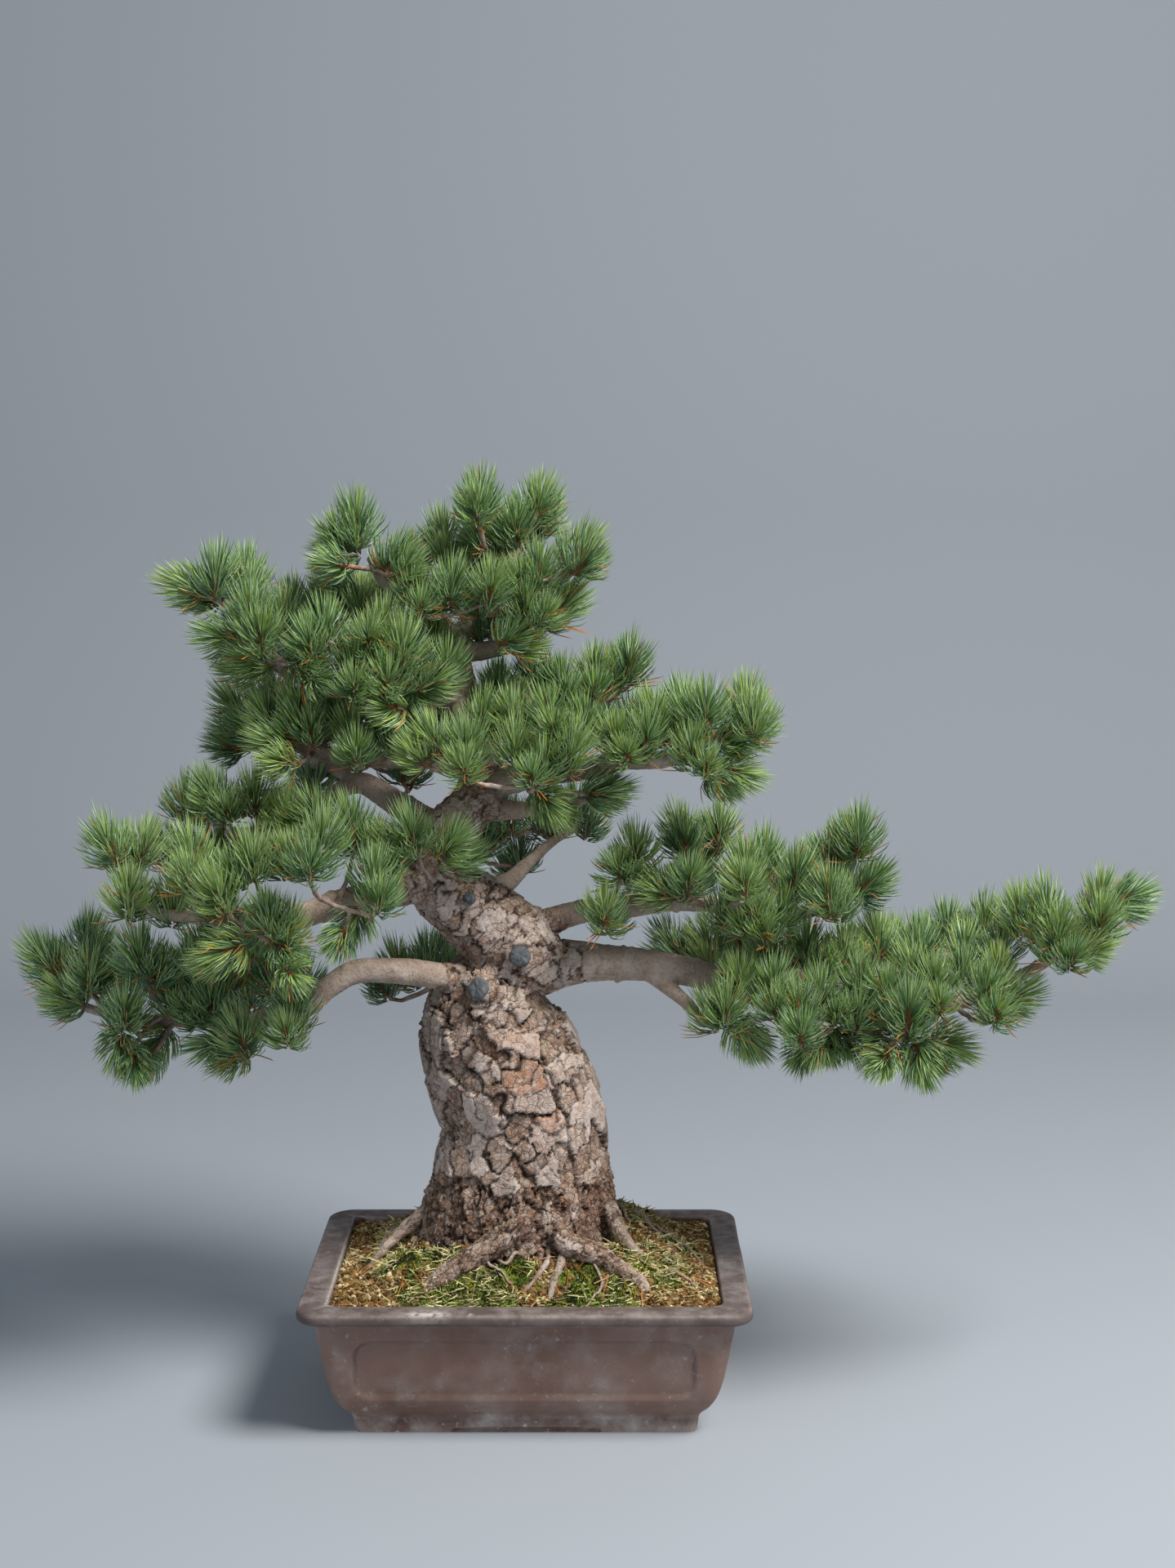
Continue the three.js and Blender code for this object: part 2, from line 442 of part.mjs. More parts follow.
function roundedRing(inset, z) {
  const halfX = POT_LENGTH / 2 - inset;
  const halfY = POT_DEPTH / 2 - inset;
  const radius = LIP_CORNER - CORNER_SHRINK * inset;
  const ring = [];
  for (let corner = 0; corner < 4; corner += 1) {
    const signX = corner === 0 || corner === 3 ? 1 : -1;
    const signY = corner < 2 ? 1 : -1;
    for (let step = 0; step <= CORNER_STEPS; step += 1) {
      const angle = (corner + step / CORNER_STEPS) * (Math.PI / 2);
      ring.push(new THREE.Vector3(
        signX * (halfX - radius) + radius * Math.cos(angle),
        signY * (halfY - radius) + radius * Math.sin(angle),
        z,
      ));
    }
  }
  return ring;
}

function profileLoft(profile, extraInset = 0) {
  return loft(profile.map(([inset, z]) => roundedRing(inset + extraInset, z)));
}

// Outline of the space between two feet, with the small scallop at each foot.
function archShape(half) {
  const shape = new THREE.Shape();
  shape.moveTo(-half, -1);
  shape.lineTo(-half, 0);
  shape.quadraticCurveTo(-half + 1, ARCH_HEIGHT - 1.2, -half + 8, ARCH_HEIGHT - 1);
  shape.quadraticCurveTo(-half + 11, ARCH_HEIGHT - 2.4, -half + 15, ARCH_HEIGHT);
  shape.lineTo(half - 15, ARCH_HEIGHT);
  shape.quadraticCurveTo(half - 11, ARCH_HEIGHT - 2.4, half - 8, ARCH_HEIGHT - 1);
  shape.quadraticCurveTo(half - 1, ARCH_HEIGHT - 1.2, half, 0);
  shape.lineTo(half, -1);
  return shape;
}

function panelShape(half) {
  const shape = new THREE.Shape();
  const corner = PANEL_CORNER;
  shape.moveTo(-half + corner, PANEL_LOW);
  shape.lineTo(half - corner, PANEL_LOW);
  shape.absarc(half - corner, PANEL_LOW + corner, corner, -Math.PI / 2, 0, false);
  shape.absarc(half - corner, PANEL_HIGH - corner, corner, 0, Math.PI / 2, false);
  shape.absarc(-half + corner, PANEL_HIGH - corner, corner, Math.PI / 2, Math.PI, false);
  shape.absarc(-half + corner, PANEL_LOW + corner, corner, Math.PI, 1.5 * Math.PI, false);
  return shape;
}

// The shape is drawn in x and z and runs through the whole pot along y, or turned, along x.
function cutThrough(shape, alongX) {
  const depth = POT_LENGTH + 20;
  const geometry = new THREE.ExtrudeGeometry(shape, { depth, bevelEnabled: false, curveSegments: 3 });
  geometry.translate(0, 0, -depth / 2);
  geometry.rotateX(Math.PI / 2);
  if (alongX) {
    geometry.rotateZ(Math.PI / 2);
  }
  return solidOf(geometry);
}

function makePot() {
  let pot = profileLoft([...POT_OUTSIDE, ...POT_INSIDE]);
  const underside = FOOT_INSET + BAND_WIDTH;
  pot = pot.subtract(profileLoft([[underside, -1], [underside + 1, FLOOR_UNDERSIDE]]));
  pot = pot.subtract(cutThrough(archShape(ARCH_FRONT), false));
  pot = pot.subtract(cutThrough(archShape(ARCH_SIDE), true));
  const core = profileLoft(POT_OUTSIDE, PANEL_DEPTH);
  pot = pot.subtract(cutThrough(panelShape(PANEL_FRONT), false).subtract(core));
  pot = pot.subtract(cutThrough(panelShape(PANEL_SIDE), true).subtract(core));
  for (const side of [-1, 1]) {
    const hole = new THREE.CylinderGeometry(DRAIN_RADIUS, DRAIN_RADIUS, FLOOR_TOP * 2, 20);
    hole.rotateX(Math.PI / 2);
    hole.translate(side * DRAIN_PLACE, 0, FLOOR_TOP);
    pot = pot.subtract(solidOf(hole));
  }
  return pot;
}

function block(sizeX, sizeY, sizeZ, x, y, z) {
  return solidOf(new THREE.BoxGeometry(sizeX, sizeY, sizeZ).translate(x, y, z));
}

function makeScreen(side) {
  const z = FLOOR_TOP + GAP + SCREEN_THICKNESS / 2;
  const middle = side * DRAIN_PLACE;
  let screen = block(SCREEN_SIZE, SCREEN_SIZE, SCREEN_THICKNESS, middle, 0, z);
  for (let row = -1; row <= 1; row += 1) {
    for (let column = -1; column <= 1; column += 1) {
      const x = middle + column * SCREEN_PITCH;
      const y = row * SCREEN_PITCH;
      screen = screen.subtract(block(SCREEN_MESH, SCREEN_MESH, 2 * SCREEN_THICKNESS, x, y, z));
    }
  }
  return screen;
}

// ---- soil ---------------------------------------------------------------------------------

function soilHeight(x, y) {
  const toEnd = (POT_LENGTH / 2 - LIP_WIDTH - Math.abs(x)) / SOIL_SLOPE_X;
  const toSide = (POT_DEPTH / 2 - LIP_WIDTH - Math.abs(y)) / SOIL_SLOPE_Y;
  const cushions = MOSS.map(([middleX, middleY, radius, thickness]) => {
    const away = Math.hypot(x - middleX, y - middleY) / radius;
    return thickness * (1 - smooth((away - MOSS_FLAT) / (1 - MOSS_FLAT)));
  });
  return SOIL_EDGE + SOIL_RISE * smooth(toEnd) * smooth(toSide) + Math.max(...cushions);
}

function makeSoil(wood) {
  const draw = seeded(SEED);
  const halfX = POT_LENGTH / 2;
  const halfY = POT_DEPTH / 2;
  const heap = new THREE.BoxGeometry(POT_LENGTH, POT_DEPTH, 100, SOIL_CELLS_X, SOIL_CELLS_Y, 1);
  const places = heap.attributes.position;
  const rough = new Map();
  for (let i = 0; i < places.count; i += 1) {
    const x = places.getX(i);
    const y = places.getY(i);
    const key = `${x.toFixed(2)} ${y.toFixed(2)}`;
    if (!rough.has(key)) {
      rough.set(key, SOIL_GRAIN * (2 * draw() - 1));
    }
    const top = places.getZ(i) > 0;
    const inside = Math.abs(x) < halfX - 1 && Math.abs(y) < halfY - 1;
    places.setZ(i, top ? soilHeight(x, y) + (inside ? rough.get(key) : 0) : 0);
  }
  const wall = POT_INSIDE.slice(2).reverse();
  const cavity = [[wall[0][0], FLOOR_TOP + GAP], ...wall.slice(1), [LIP_WIDTH, SOIL_EDGE + SOIL_RISE + 20]];
  let soil = solidOf(heap).intersect(profileLoft(cavity, GAP));
  for (const side of [-1, 1]) {
    const pocket = SCREEN_SIZE + 2 * GAP;
    const pocketHeight = 2 * (SCREEN_THICKNESS + 2 * GAP);
    soil = soil.subtract(block(pocket, pocket, pocketHeight, side * DRAIN_PLACE, 0, FLOOR_TOP));
  }
  return mainBody(soil.subtract(wood));
}

// ---- trunk, limbs and roots ---------------------------------------------------------------

// Slow flutes round the trunk, as a share of its radius.
function flutes(angle, height) {
  return FLUTE_SHARE * (0.6 * Math.sin(5 * angle + height / 52) + 0.4 * Math.sin(3 * angle - height / 37));
}

// How far the main bark plates stand out of the trunk's mean surface.
function plateRise(angle, height, radius) {
  const rises = PLATES.map(([turn, middle, halfWidth, halfHeight, rise]) => {
    const apart = THREE.MathUtils.euclideanModulo(THREE.MathUtils.radToDeg(angle) - turn + 180, 360) - 180;
    const across = (THREE.MathUtils.degToRad(apart) * radius) / halfWidth;
    const away = Math.hypot(across, (height - middle) / halfHeight);
    return rise * (1 - smooth((away - PLATE_FLAT) / (PLATE_FOOT - PLATE_FLAT)));
  });
  return Math.max(...rises) - PLATE_SINK;
}

function stumpSwell(angle, ring) {
  const [, , height, radius] = STUMP[ring];
  return 1 + flutes(angle, height) + plateRise(angle, height, radius) / radius;
}

function leaderSwell(angle, ring) {
  return 1 + flutes(angle, LEADER[ring][2]);
}

function makeWood(extra) {
  const pieces = [
    tube(STUMP, TRUNK_SIDES, extra, stumpSwell, TRUNK_DEPTH_RATIO),
    tube(LEADER, LEADER_SIDES, extra, leaderSwell),
  ];
  for (const route of [...Object.values(LIMBS), ...Object.values(ROOTS)]) {
    pieces.push(tube(route, LIMB_SIDES, extra));
  }
  for (const cut of Object.values(CUTS)) {
    pieces.push(disc(cut, cut.radius + CUT_COLLAR + extra, -CUT_DEPTH, extra));
  }
  return fuse(pieces);
}

// A short round solid on a cut's axis, from one distance along its facing to another.
function disc(cut, radius, from, to, crown = 0) {
  const points = [new THREE.Vector2(0, from), new THREE.Vector2(radius, from), new THREE.Vector2(radius, to)];
  if (crown > 0) {
    points.push(new THREE.Vector2(0.6 * radius, to + 0.75 * crown));
  }
  points.push(new THREE.Vector2(0, to + crown));
  const geometry = new THREE.LatheGeometry(points, 12);
  const facing = vector(cut.facing).normalize();
  const turn = new THREE.Quaternion().setFromUnitVectors(new THREE.Vector3(0, 1, 0), facing);
  geometry.applyQuaternion(turn);
  geometry.translate(...cut.place);
  return solidOf(geometry);
}

// ---- sprays of needles --------------------------------------------------------------------

const filled = [];               // straight stretches already taken by wood, twigs and needles

function fillRoute(places, radii, owner, tuft = null) {
  for (let i = 0; i + 1 < places.length; i += 1) {
    filled.push({ a: places[i], b: places[i + 1], radius: Math.max(radii[i], radii[i + 1]), owner, tuft });
  }
}

// How deep a stretch reaches into those already taken, apart from those that it may touch.
function crowding(a, b, radius, mayTouch) {
  let depth = 0;
  for (const other of filled) {
    if (mayTouch(other)) {
      continue;
    }
    const reach = radius + other.radius + NEEDLE_CLEAR / 2;
    if (a.distanceTo(other.a) > reach + a.distanceTo(b) + other.a.distanceTo(other.b)) {
      continue;
    }
    depth = Math.max(depth, reach - stretchDistance(a, b, other.a, other.b));
  }
  return depth;
}

function tuftOf(numbers, limbY, draw) {
  const [x, y, z, size, leanX = 0, leanZ = 1] = numbers;
  const leanY = THREE.MathUtils.clamp((y - limbY) / 60, -0.4, 0.4);
  const up = new THREE.Vector3(leanX, leanY, leanZ).normalize();
  up.addScaledVector(drawInBall(draw), TUFT_NOD).normalize();
  return { place: new THREE.Vector3(x, y, z), up, size };
}

// Points along a limb, closely spaced.
function limbPoints(route) {
  return new THREE.CatmullRomCurve3(route.map(vector)).getPoints((route.length - 1) * 8);
}

// Where a twig leaves its limb: a little before the point nearest to its tuft.
function leavingPoint(points, target) {
  const distances = points.map((p) => p.distanceTo(target));
  const nearest = distances.indexOf(Math.min(...distances));
  let index = nearest;
  while (index > 0 && points[index].distanceTo(points[nearest]) < 0.35 * distances[nearest]) {
    index -= 1;
  }
  return points[index];
}

// A twig that rises to its tuft, bent until it is clear of every other piece.
function routeTwig(from, tuft, owner, leavesLimb, draw) {
  const span = from.distanceTo(tuft.place);
  const steps = span > LONG_TWIG ? 3 : 2;
  let best = null;
  for (let attempt = 0; attempt < ROUTE_TRIES; attempt += 1) {
    const bend = tuft.place.clone().addScaledVector(tuft.up, -0.4 * span);
    bend.addScaledVector(drawInBall(draw), (attempt / ROUTE_TRIES) * Math.min(0.8 * span, 50));
    const places = new THREE.QuadraticBezierCurve3(from, bend, tuft.place).getPoints(steps);
    let depth = 0;
    for (let i = 0; i < steps; i += 1) {
      const atLimb = leavesLimb && i === 0;
      const mayTouch = (other) => other.owner === owner || (atLimb && other.owner === 'wood');
      depth = Math.max(depth, crowding(places[i], places[i + 1], TWIG_ROOT_RADIUS, mayTouch));
    }
    if (!best || depth < best.depth) {
      best = { places, depth };
    }
    if (depth === 0) {
      break;
    }
  }
  return best.places;
}

// The tip of a needle that stands clear of everything but its own tuft, or nothing.
function needleTip(root, face, frame, tuft, draw) {
  for (let attempt = 0; attempt < NEEDLE_TRIES; attempt += 1) {
    const wander = 0.06 + 0.02 * attempt;
    const tilt = face.tilt * (1 + wander * (2 * draw() - 1));
    const angle = face.angle + wander * (2 * draw() - 1);
    const length = NEEDLE_LENGTH * tuft.size * (0.9 + 0.15 * draw()) * (attempt < 9 ? 1 : 0.55);
    const way = around(Math.sin(tilt), angle, Math.cos(tilt)).applyMatrix4(frame);
    const tip = root.clone().addScaledVector(way, length);
    if (crowding(root, tip, NEEDLE_CLEAR, (other) => other.tuft === tuft) === 0) {
      return tip;
    }
  }
  return null;
}

// A three-sided twig that ends in a slim core, whose faces are drawn out into needles.
function makeTwig(twig, draw) {
  const { tuft } = twig;
  const firstSide = drawInBall(draw).normalize();
  const low = tuft.place.clone().addScaledVector(tuft.up, 1);
  const places = [...twig.places.slice(0, -1), low];
  const radii = [...twig.radii.slice(0, -1), BUD_RADIUS];
  const rings = ringsAlong(places, radii, 3, firstSide, () => 1);
  const side = rings.at(-1)[0].clone().sub(low);
  side.addScaledVector(tuft.up, -side.dot(tuft.up)).normalize();
  const across = new THREE.Vector3().crossVectors(tuft.up, side);
  const frame = new THREE.Matrix4().makeBasis(side, across, tuft.up);
  const collar = (height, phase) => [0, 1, 2].map((k) => {
    const angle = phase + (2 * Math.PI * k) / 3;
    return around(BUD_RADIUS, angle, height).applyMatrix4(frame).add(tuft.place);
  });
  rings[rings.length - 1] = collar(1, 0);
  const points = [...rings.flat(), ...collar(0.72 * BUD_LENGTH, Math.PI / 3)];
  const top = points.push(tuft.place.clone().addScaledVector(tuft.up, BUD_LENGTH)) - 1;
  const triangles = [[2, 1, 0]];
  for (let i = 0; i + 1 < rings.length; i += 1) {
    for (let k = 0; k < 3; k += 1) {
      const a = 3 * i + k;
      const b = 3 * i + ((k + 1) % 3);
      triangles.push([a, b, b + 3], [a, b + 3, a + 3]);
    }
  }
  const low3 = 3 * (rings.length - 1);
  const high3 = low3 + 3;
  const faces = [];
  for (let k = 0; k < 3; k += 1) {
    const next = (k + 1) % 3;
    const facing = (2 * Math.PI * (k + 0.5)) / 3;
    const between = facing + Math.PI / 3;
    faces.push({ corners: [low3 + k, low3 + next, high3 + k], angle: facing, tilt: TILTS.low });
    faces.push({ corners: [low3 + next, high3 + next, high3 + k], angle: between, tilt: TILTS.middle });
    faces.push({ corners: [high3 + k, high3 + next, top], angle: between, tilt: TILTS.top });
  }
  for (const face of faces) {
    const root = new THREE.Vector3();
    face.corners.forEach((corner) => root.addScaledVector(points[corner], 1 / 3));
    const tip = needleTip(root, face, frame, tuft, draw);
    if (tip) {
      filled.push({ a: root, b: tip, radius: NEEDLE_CLEAR, owner: twig.owner, tuft });
      const index = points.push(tip) - 1;
      const [p, q, r] = face.corners;
      triangles.push([p, q, index], [q, r, index], [r, p, index]);
    } else {
      triangles.push(face.corners);
    }
  }
  return solidFromTriangles(points, triangles);
}

// Points along a twig where another may leave it, clear of the wood that it grows from.
function twigStations(twig) {
  const points = new THREE.CatmullRomCurve3(twig.places).getPoints(16).slice(1, -3);
  const inWood = (point) => {
    const beside = point.clone().addScaledVector(twig.tuft.up, 0.1);
    return crowding(point, beside, TWIG_ROOT_RADIUS, (other) => other.owner !== 'wood') > 0;
  };
  const clear = points.filter((point) => !inWood(point));
  return clear.length ? clear : points.slice(-1);
}

// Twigs of one spray: the longest leaves the limb, the others leave the nearest twig.
function layTwigs(owner, limb, tufts, draw) {
  const order = [...tufts];
  const start = leavingPoint(limb, order[0].place);
  order.sort((a, b) => b.place.distanceTo(start) - a.place.distanceTo(start));
  const root = leavingPoint(limb, order[0].place);
  const twigs = [];
  for (const tuft of order) {
    let from = root;
    let nearest = Infinity;
    for (const twig of twigs) {
      for (const station of twigStations(twig)) {
        const distance = station.distanceTo(tuft.place);
        if (distance < nearest) {
          nearest = distance;
          from = station;
        }
      }
    }
    const places = routeTwig(from, tuft, owner, twigs.length === 0, draw);
    const rootRadius = twigs.length ? 0.5 * (TWIG_ROOT_RADIUS + TWIG_TIP_RADIUS) : TWIG_ROOT_RADIUS;
    const taper = (rootRadius - TWIG_TIP_RADIUS) / (places.length - 1);
    const radii = places.map((place, i) => rootRadius - taper * i);
    fillRoute(places, radii, owner, tuft);
    twigs.push({ owner, tuft, places, radii });
  }
  return twigs;
}

function makeSprays(woodWithClearance) {
  const routes = { ...LIMBS, leader: LEADER };
  for (const route of [STUMP, ...Object.values(routes), ...Object.values(ROOTS)]) {
    const places = limbPoints(route).filter((place, i) => i % 4 === 0);
    const radii = places.map((place, i) => route[Math.round(i / 2)][3]);
    fillRoute(places, radii, 'wood');
  }
  const plans = [];
  let seed = SEED * 100;
  for (const [name, [limbName, ...rows]] of Object.entries(SPRAYS)) {
    seed += 1;
    const draw = seeded(seed);
    const limb = limbPoints(routes[limbName]);
    const tufts = rows.map((row) => tuftOf(row, leavingPoint(limb, vector(row)).y, draw));
    for (const tuft of tufts) {
      const top = tuft.place.clone().addScaledVector(tuft.up, BUD_LENGTH);
      filled.push({ a: tuft.place, b: top, radius: BUD_CLEAR, owner: name, tuft });
    }
    plans.push({ name, limb, tufts, draw });
  }
  for (const plan of plans) {
    plan.twigs = layTwigs(plan.name, plan.limb, plan.tufts, plan.draw);
  }
  return plans.map((plan) => {
    const spray = fuse(plan.twigs.map((twig) => makeTwig(twig, plan.draw)));
    return { name: `spray_${plan.name}`, solid: mainBody(spray.subtract(woodWithClearance)) };
  });
}

// ---- the whole part -----------------------------------------------------------------------

const tree = new THREE.Group();

function add(name, solid, material) {
  const mesh = new THREE.Mesh(geometryOf(solid.asOriginal().simplify(SEAM_TOLERANCE)), material);
  mesh.name = name;
  tree.add(mesh);
}

const wood = makeWood(0);
const woodWithClearance = makeWood(GAP);

add('pot', makePot(), clay);
add('drain_screen_left', makeScreen(-1), screenPlastic);
add('drain_screen_right', makeScreen(1), screenPlastic);
add('soil', makeSoil(woodWithClearance), soilGrit);
add('trunk', mainBody(wood), bark);
for (const [name, cut] of Object.entries(CUTS)) {
  add(`cut_paste_${name}`, disc(cut, cut.radius, GAP, PASTE_THICKNESS, 1), paste);
}
for (const spray of makeSprays(woodWithClearance)) {
  add(spray.name, spray.solid, needles);
}

const box = new THREE.Box3().setFromObject(tree);
const middle = box.getCenter(new THREE.Vector3());
tree.position.set(-middle.x, -middle.y, 0);

const group = new THREE.Group();
group.add(tree);

export default group;
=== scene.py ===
"""A bonsai white pine in a clay pot: bark, needles, clay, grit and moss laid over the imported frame."""

import math

import bpy
import numpy as np
from bpy.props import FloatProperty, FloatVectorProperty, IntProperty, PointerProperty
from bpy.types import Operator, Panel, PropertyGroup
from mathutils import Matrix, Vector, noise


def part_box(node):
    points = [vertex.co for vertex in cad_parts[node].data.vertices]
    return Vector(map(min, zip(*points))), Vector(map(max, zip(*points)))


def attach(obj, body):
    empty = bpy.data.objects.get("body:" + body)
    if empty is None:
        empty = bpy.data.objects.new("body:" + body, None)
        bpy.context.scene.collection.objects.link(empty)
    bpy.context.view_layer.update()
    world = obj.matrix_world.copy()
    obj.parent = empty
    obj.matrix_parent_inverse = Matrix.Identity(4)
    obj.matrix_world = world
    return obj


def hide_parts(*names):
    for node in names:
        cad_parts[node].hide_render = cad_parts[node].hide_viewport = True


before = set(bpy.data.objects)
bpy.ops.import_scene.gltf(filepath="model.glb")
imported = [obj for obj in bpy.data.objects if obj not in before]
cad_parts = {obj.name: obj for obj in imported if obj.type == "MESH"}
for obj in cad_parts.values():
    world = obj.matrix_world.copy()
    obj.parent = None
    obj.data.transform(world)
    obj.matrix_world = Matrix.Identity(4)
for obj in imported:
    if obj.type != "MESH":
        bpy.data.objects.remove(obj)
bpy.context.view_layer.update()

bl_info = {
    "name": "Bonsai Pine",
    "version": (1, 0, 0),
    "blender": (4, 5, 0),
    "location": "View3D > Sidebar > Bonsai",
    "description": "Makes the bark, needles, pot, soil and moss of a potted white pine",
    "category": "Add Mesh",
}

MM = 0.001
SEED = 41

# The pine is drawn in millimetres round the middle of the pot, and moved to where the frame has it.
POT_LOW, POT_HIGH = (np.array(corner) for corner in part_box("pot"))
POT_MIDDLE = np.array([(POT_LOW[0] + POT_HIGH[0]) / 2, (POT_LOW[1] + POT_HIGH[1]) / 2, 0.0])
POT_LENGTH, POT_DEPTH, POT_HEIGHT = (POT_HIGH - POT_LOW) / MM

LIP_WIDTH = 26
LIP_CORNER = 24
CORNER_SHRINK = 0.35
FOOT_INSET = 46
FLOOR_TOP = 21
FLOOR_UNDERSIDE = 9
BAND_WIDTH = 12
ARCH_HEIGHT = 5.2
ARCH_FRONT = 67
ARCH_SIDE = 44
PANEL_LOW = 39
PANEL_HIGH = 95
PANEL_FRONT = 150
PANEL_SIDE = 100
PANEL_CORNER = 15
PANEL_DEPTH = 2.6
DRAIN_RADIUS = 12
DRAIN_PLACE = 85
POT_OUTSIDE = [
    [FOOT_INSET + 1, 0], [FOOT_INSET + 0.4, 6], [45.8, 11.5], [44.6, 15.5], [41.6, 19.5], [36.5, 24.5],
    [31, 33], [27, 43],
    [24, 54], [20.5, 72], [17, 92], [14.5, 106], [13, 112], [2.5, 113.5], [0, 116], [0, 121.5],
    [1.6, 124.2], [4.5, POT_HEIGHT],
]
POT_INSIDE = [
    [LIP_WIDTH - 3, POT_HEIGHT], [LIP_WIDTH - 0.6, 123.8], [LIP_WIDTH, 121], [LIP_WIDTH + 1, 106],
    [LIP_WIDTH + 4, 62], [LIP_WIDTH + 9, 38], [LIP_WIDTH + 17, 27], [LIP_WIDTH + 26, FLOOR_TOP],
]
# Half the length and half the depth of the pot's opening.
OPENING = np.array([POT_LENGTH, POT_DEPTH]) / 2 - LIP_WIDTH
SOIL_EDGE = 119
SOIL_RISE = 32
SOIL_SLOPE_X = 95
SOIL_SLOPE_Y = 50


def table(text):
    """Named rows of numbers: a name ends in a colon, commas part its rows and semicolons the names."""
    found = {}
    for entry in text.split(";"):
        name, rows = entry.split(":")
        found[name.strip()] = [[float(number) for number in row.split()] for row in rows.split(",")]
    return found


# Routes of the wood, as x, y, z and radius at each chosen point.
STUMP = [
    [-10, 5, 72, 70], [-10, 5, 128, 96], [-8, 5, 155, 93], [-6.5, 4, 186, 87], [-5.5, 3, 215, 80],
    [-4, 2, 244, 74.5], [-8, 2, 273, 73], [-18, 1, 298, 72], [-26, 0, 322, 69.5],
    [-34, 0, 346, 63], [-30, 0, 368, 58.5], [-23, 0, 388, 50], [-12, 0, 402, 38],
]
# The trunk's main bark plates: degrees round the trunk from the back by way of the left,
# height, half width, half height and how far the plate stands out.
PLATES = np.array([
    [199, 303, 28, 21, 4.5], [153, 281, 24, 24, 4.5], [201, 270, 19, 13, 3.5], [172, 244, 17, 13, 4],
    [201, 232, 15, 20, 3.5], [176, 215, 16, 17, 4], [132, 301, 22, 16, 4.5], [130, 334, 26, 21, 4.5],
    [203, 345, 27, 21, 4.5], [171, 326, 14, 10, 3], [187, 374, 20, 11, 3.5], [233, 321, 21, 18, 4],
    [236, 272, 24, 23, 4.5], [237, 227, 20, 22, 4], [146, 238, 18, 20, 3.5], [100, 270, 22, 24, 4],
    [97, 318, 22, 22, 4.5], [114, 228, 20, 20, 3.5], [84, 222, 20, 20, 3.5], [62, 341, 26, 20, 4.5],
    [66, 296, 22, 22, 4.5], [54, 250, 24, 24, 4], [24, 322, 26, 22, 4.5], [28, 276, 22, 21, 4.5],
    [14, 234, 22, 22, 4], [346, 345, 26, 20, 4.5], [344, 298, 26, 23, 4.5], [334, 252, 22, 22, 4],
    [308, 331, 22, 20, 4.5], [306, 284, 22, 22, 4.5], [298, 238, 20, 22, 4], [270, 342, 18, 18, 4],
    [270, 299, 20, 21, 4], [268, 252, 18, 20, 4],
], float)
FLUTE_SHARE = 0.02
PLATE_SINK = 1.6
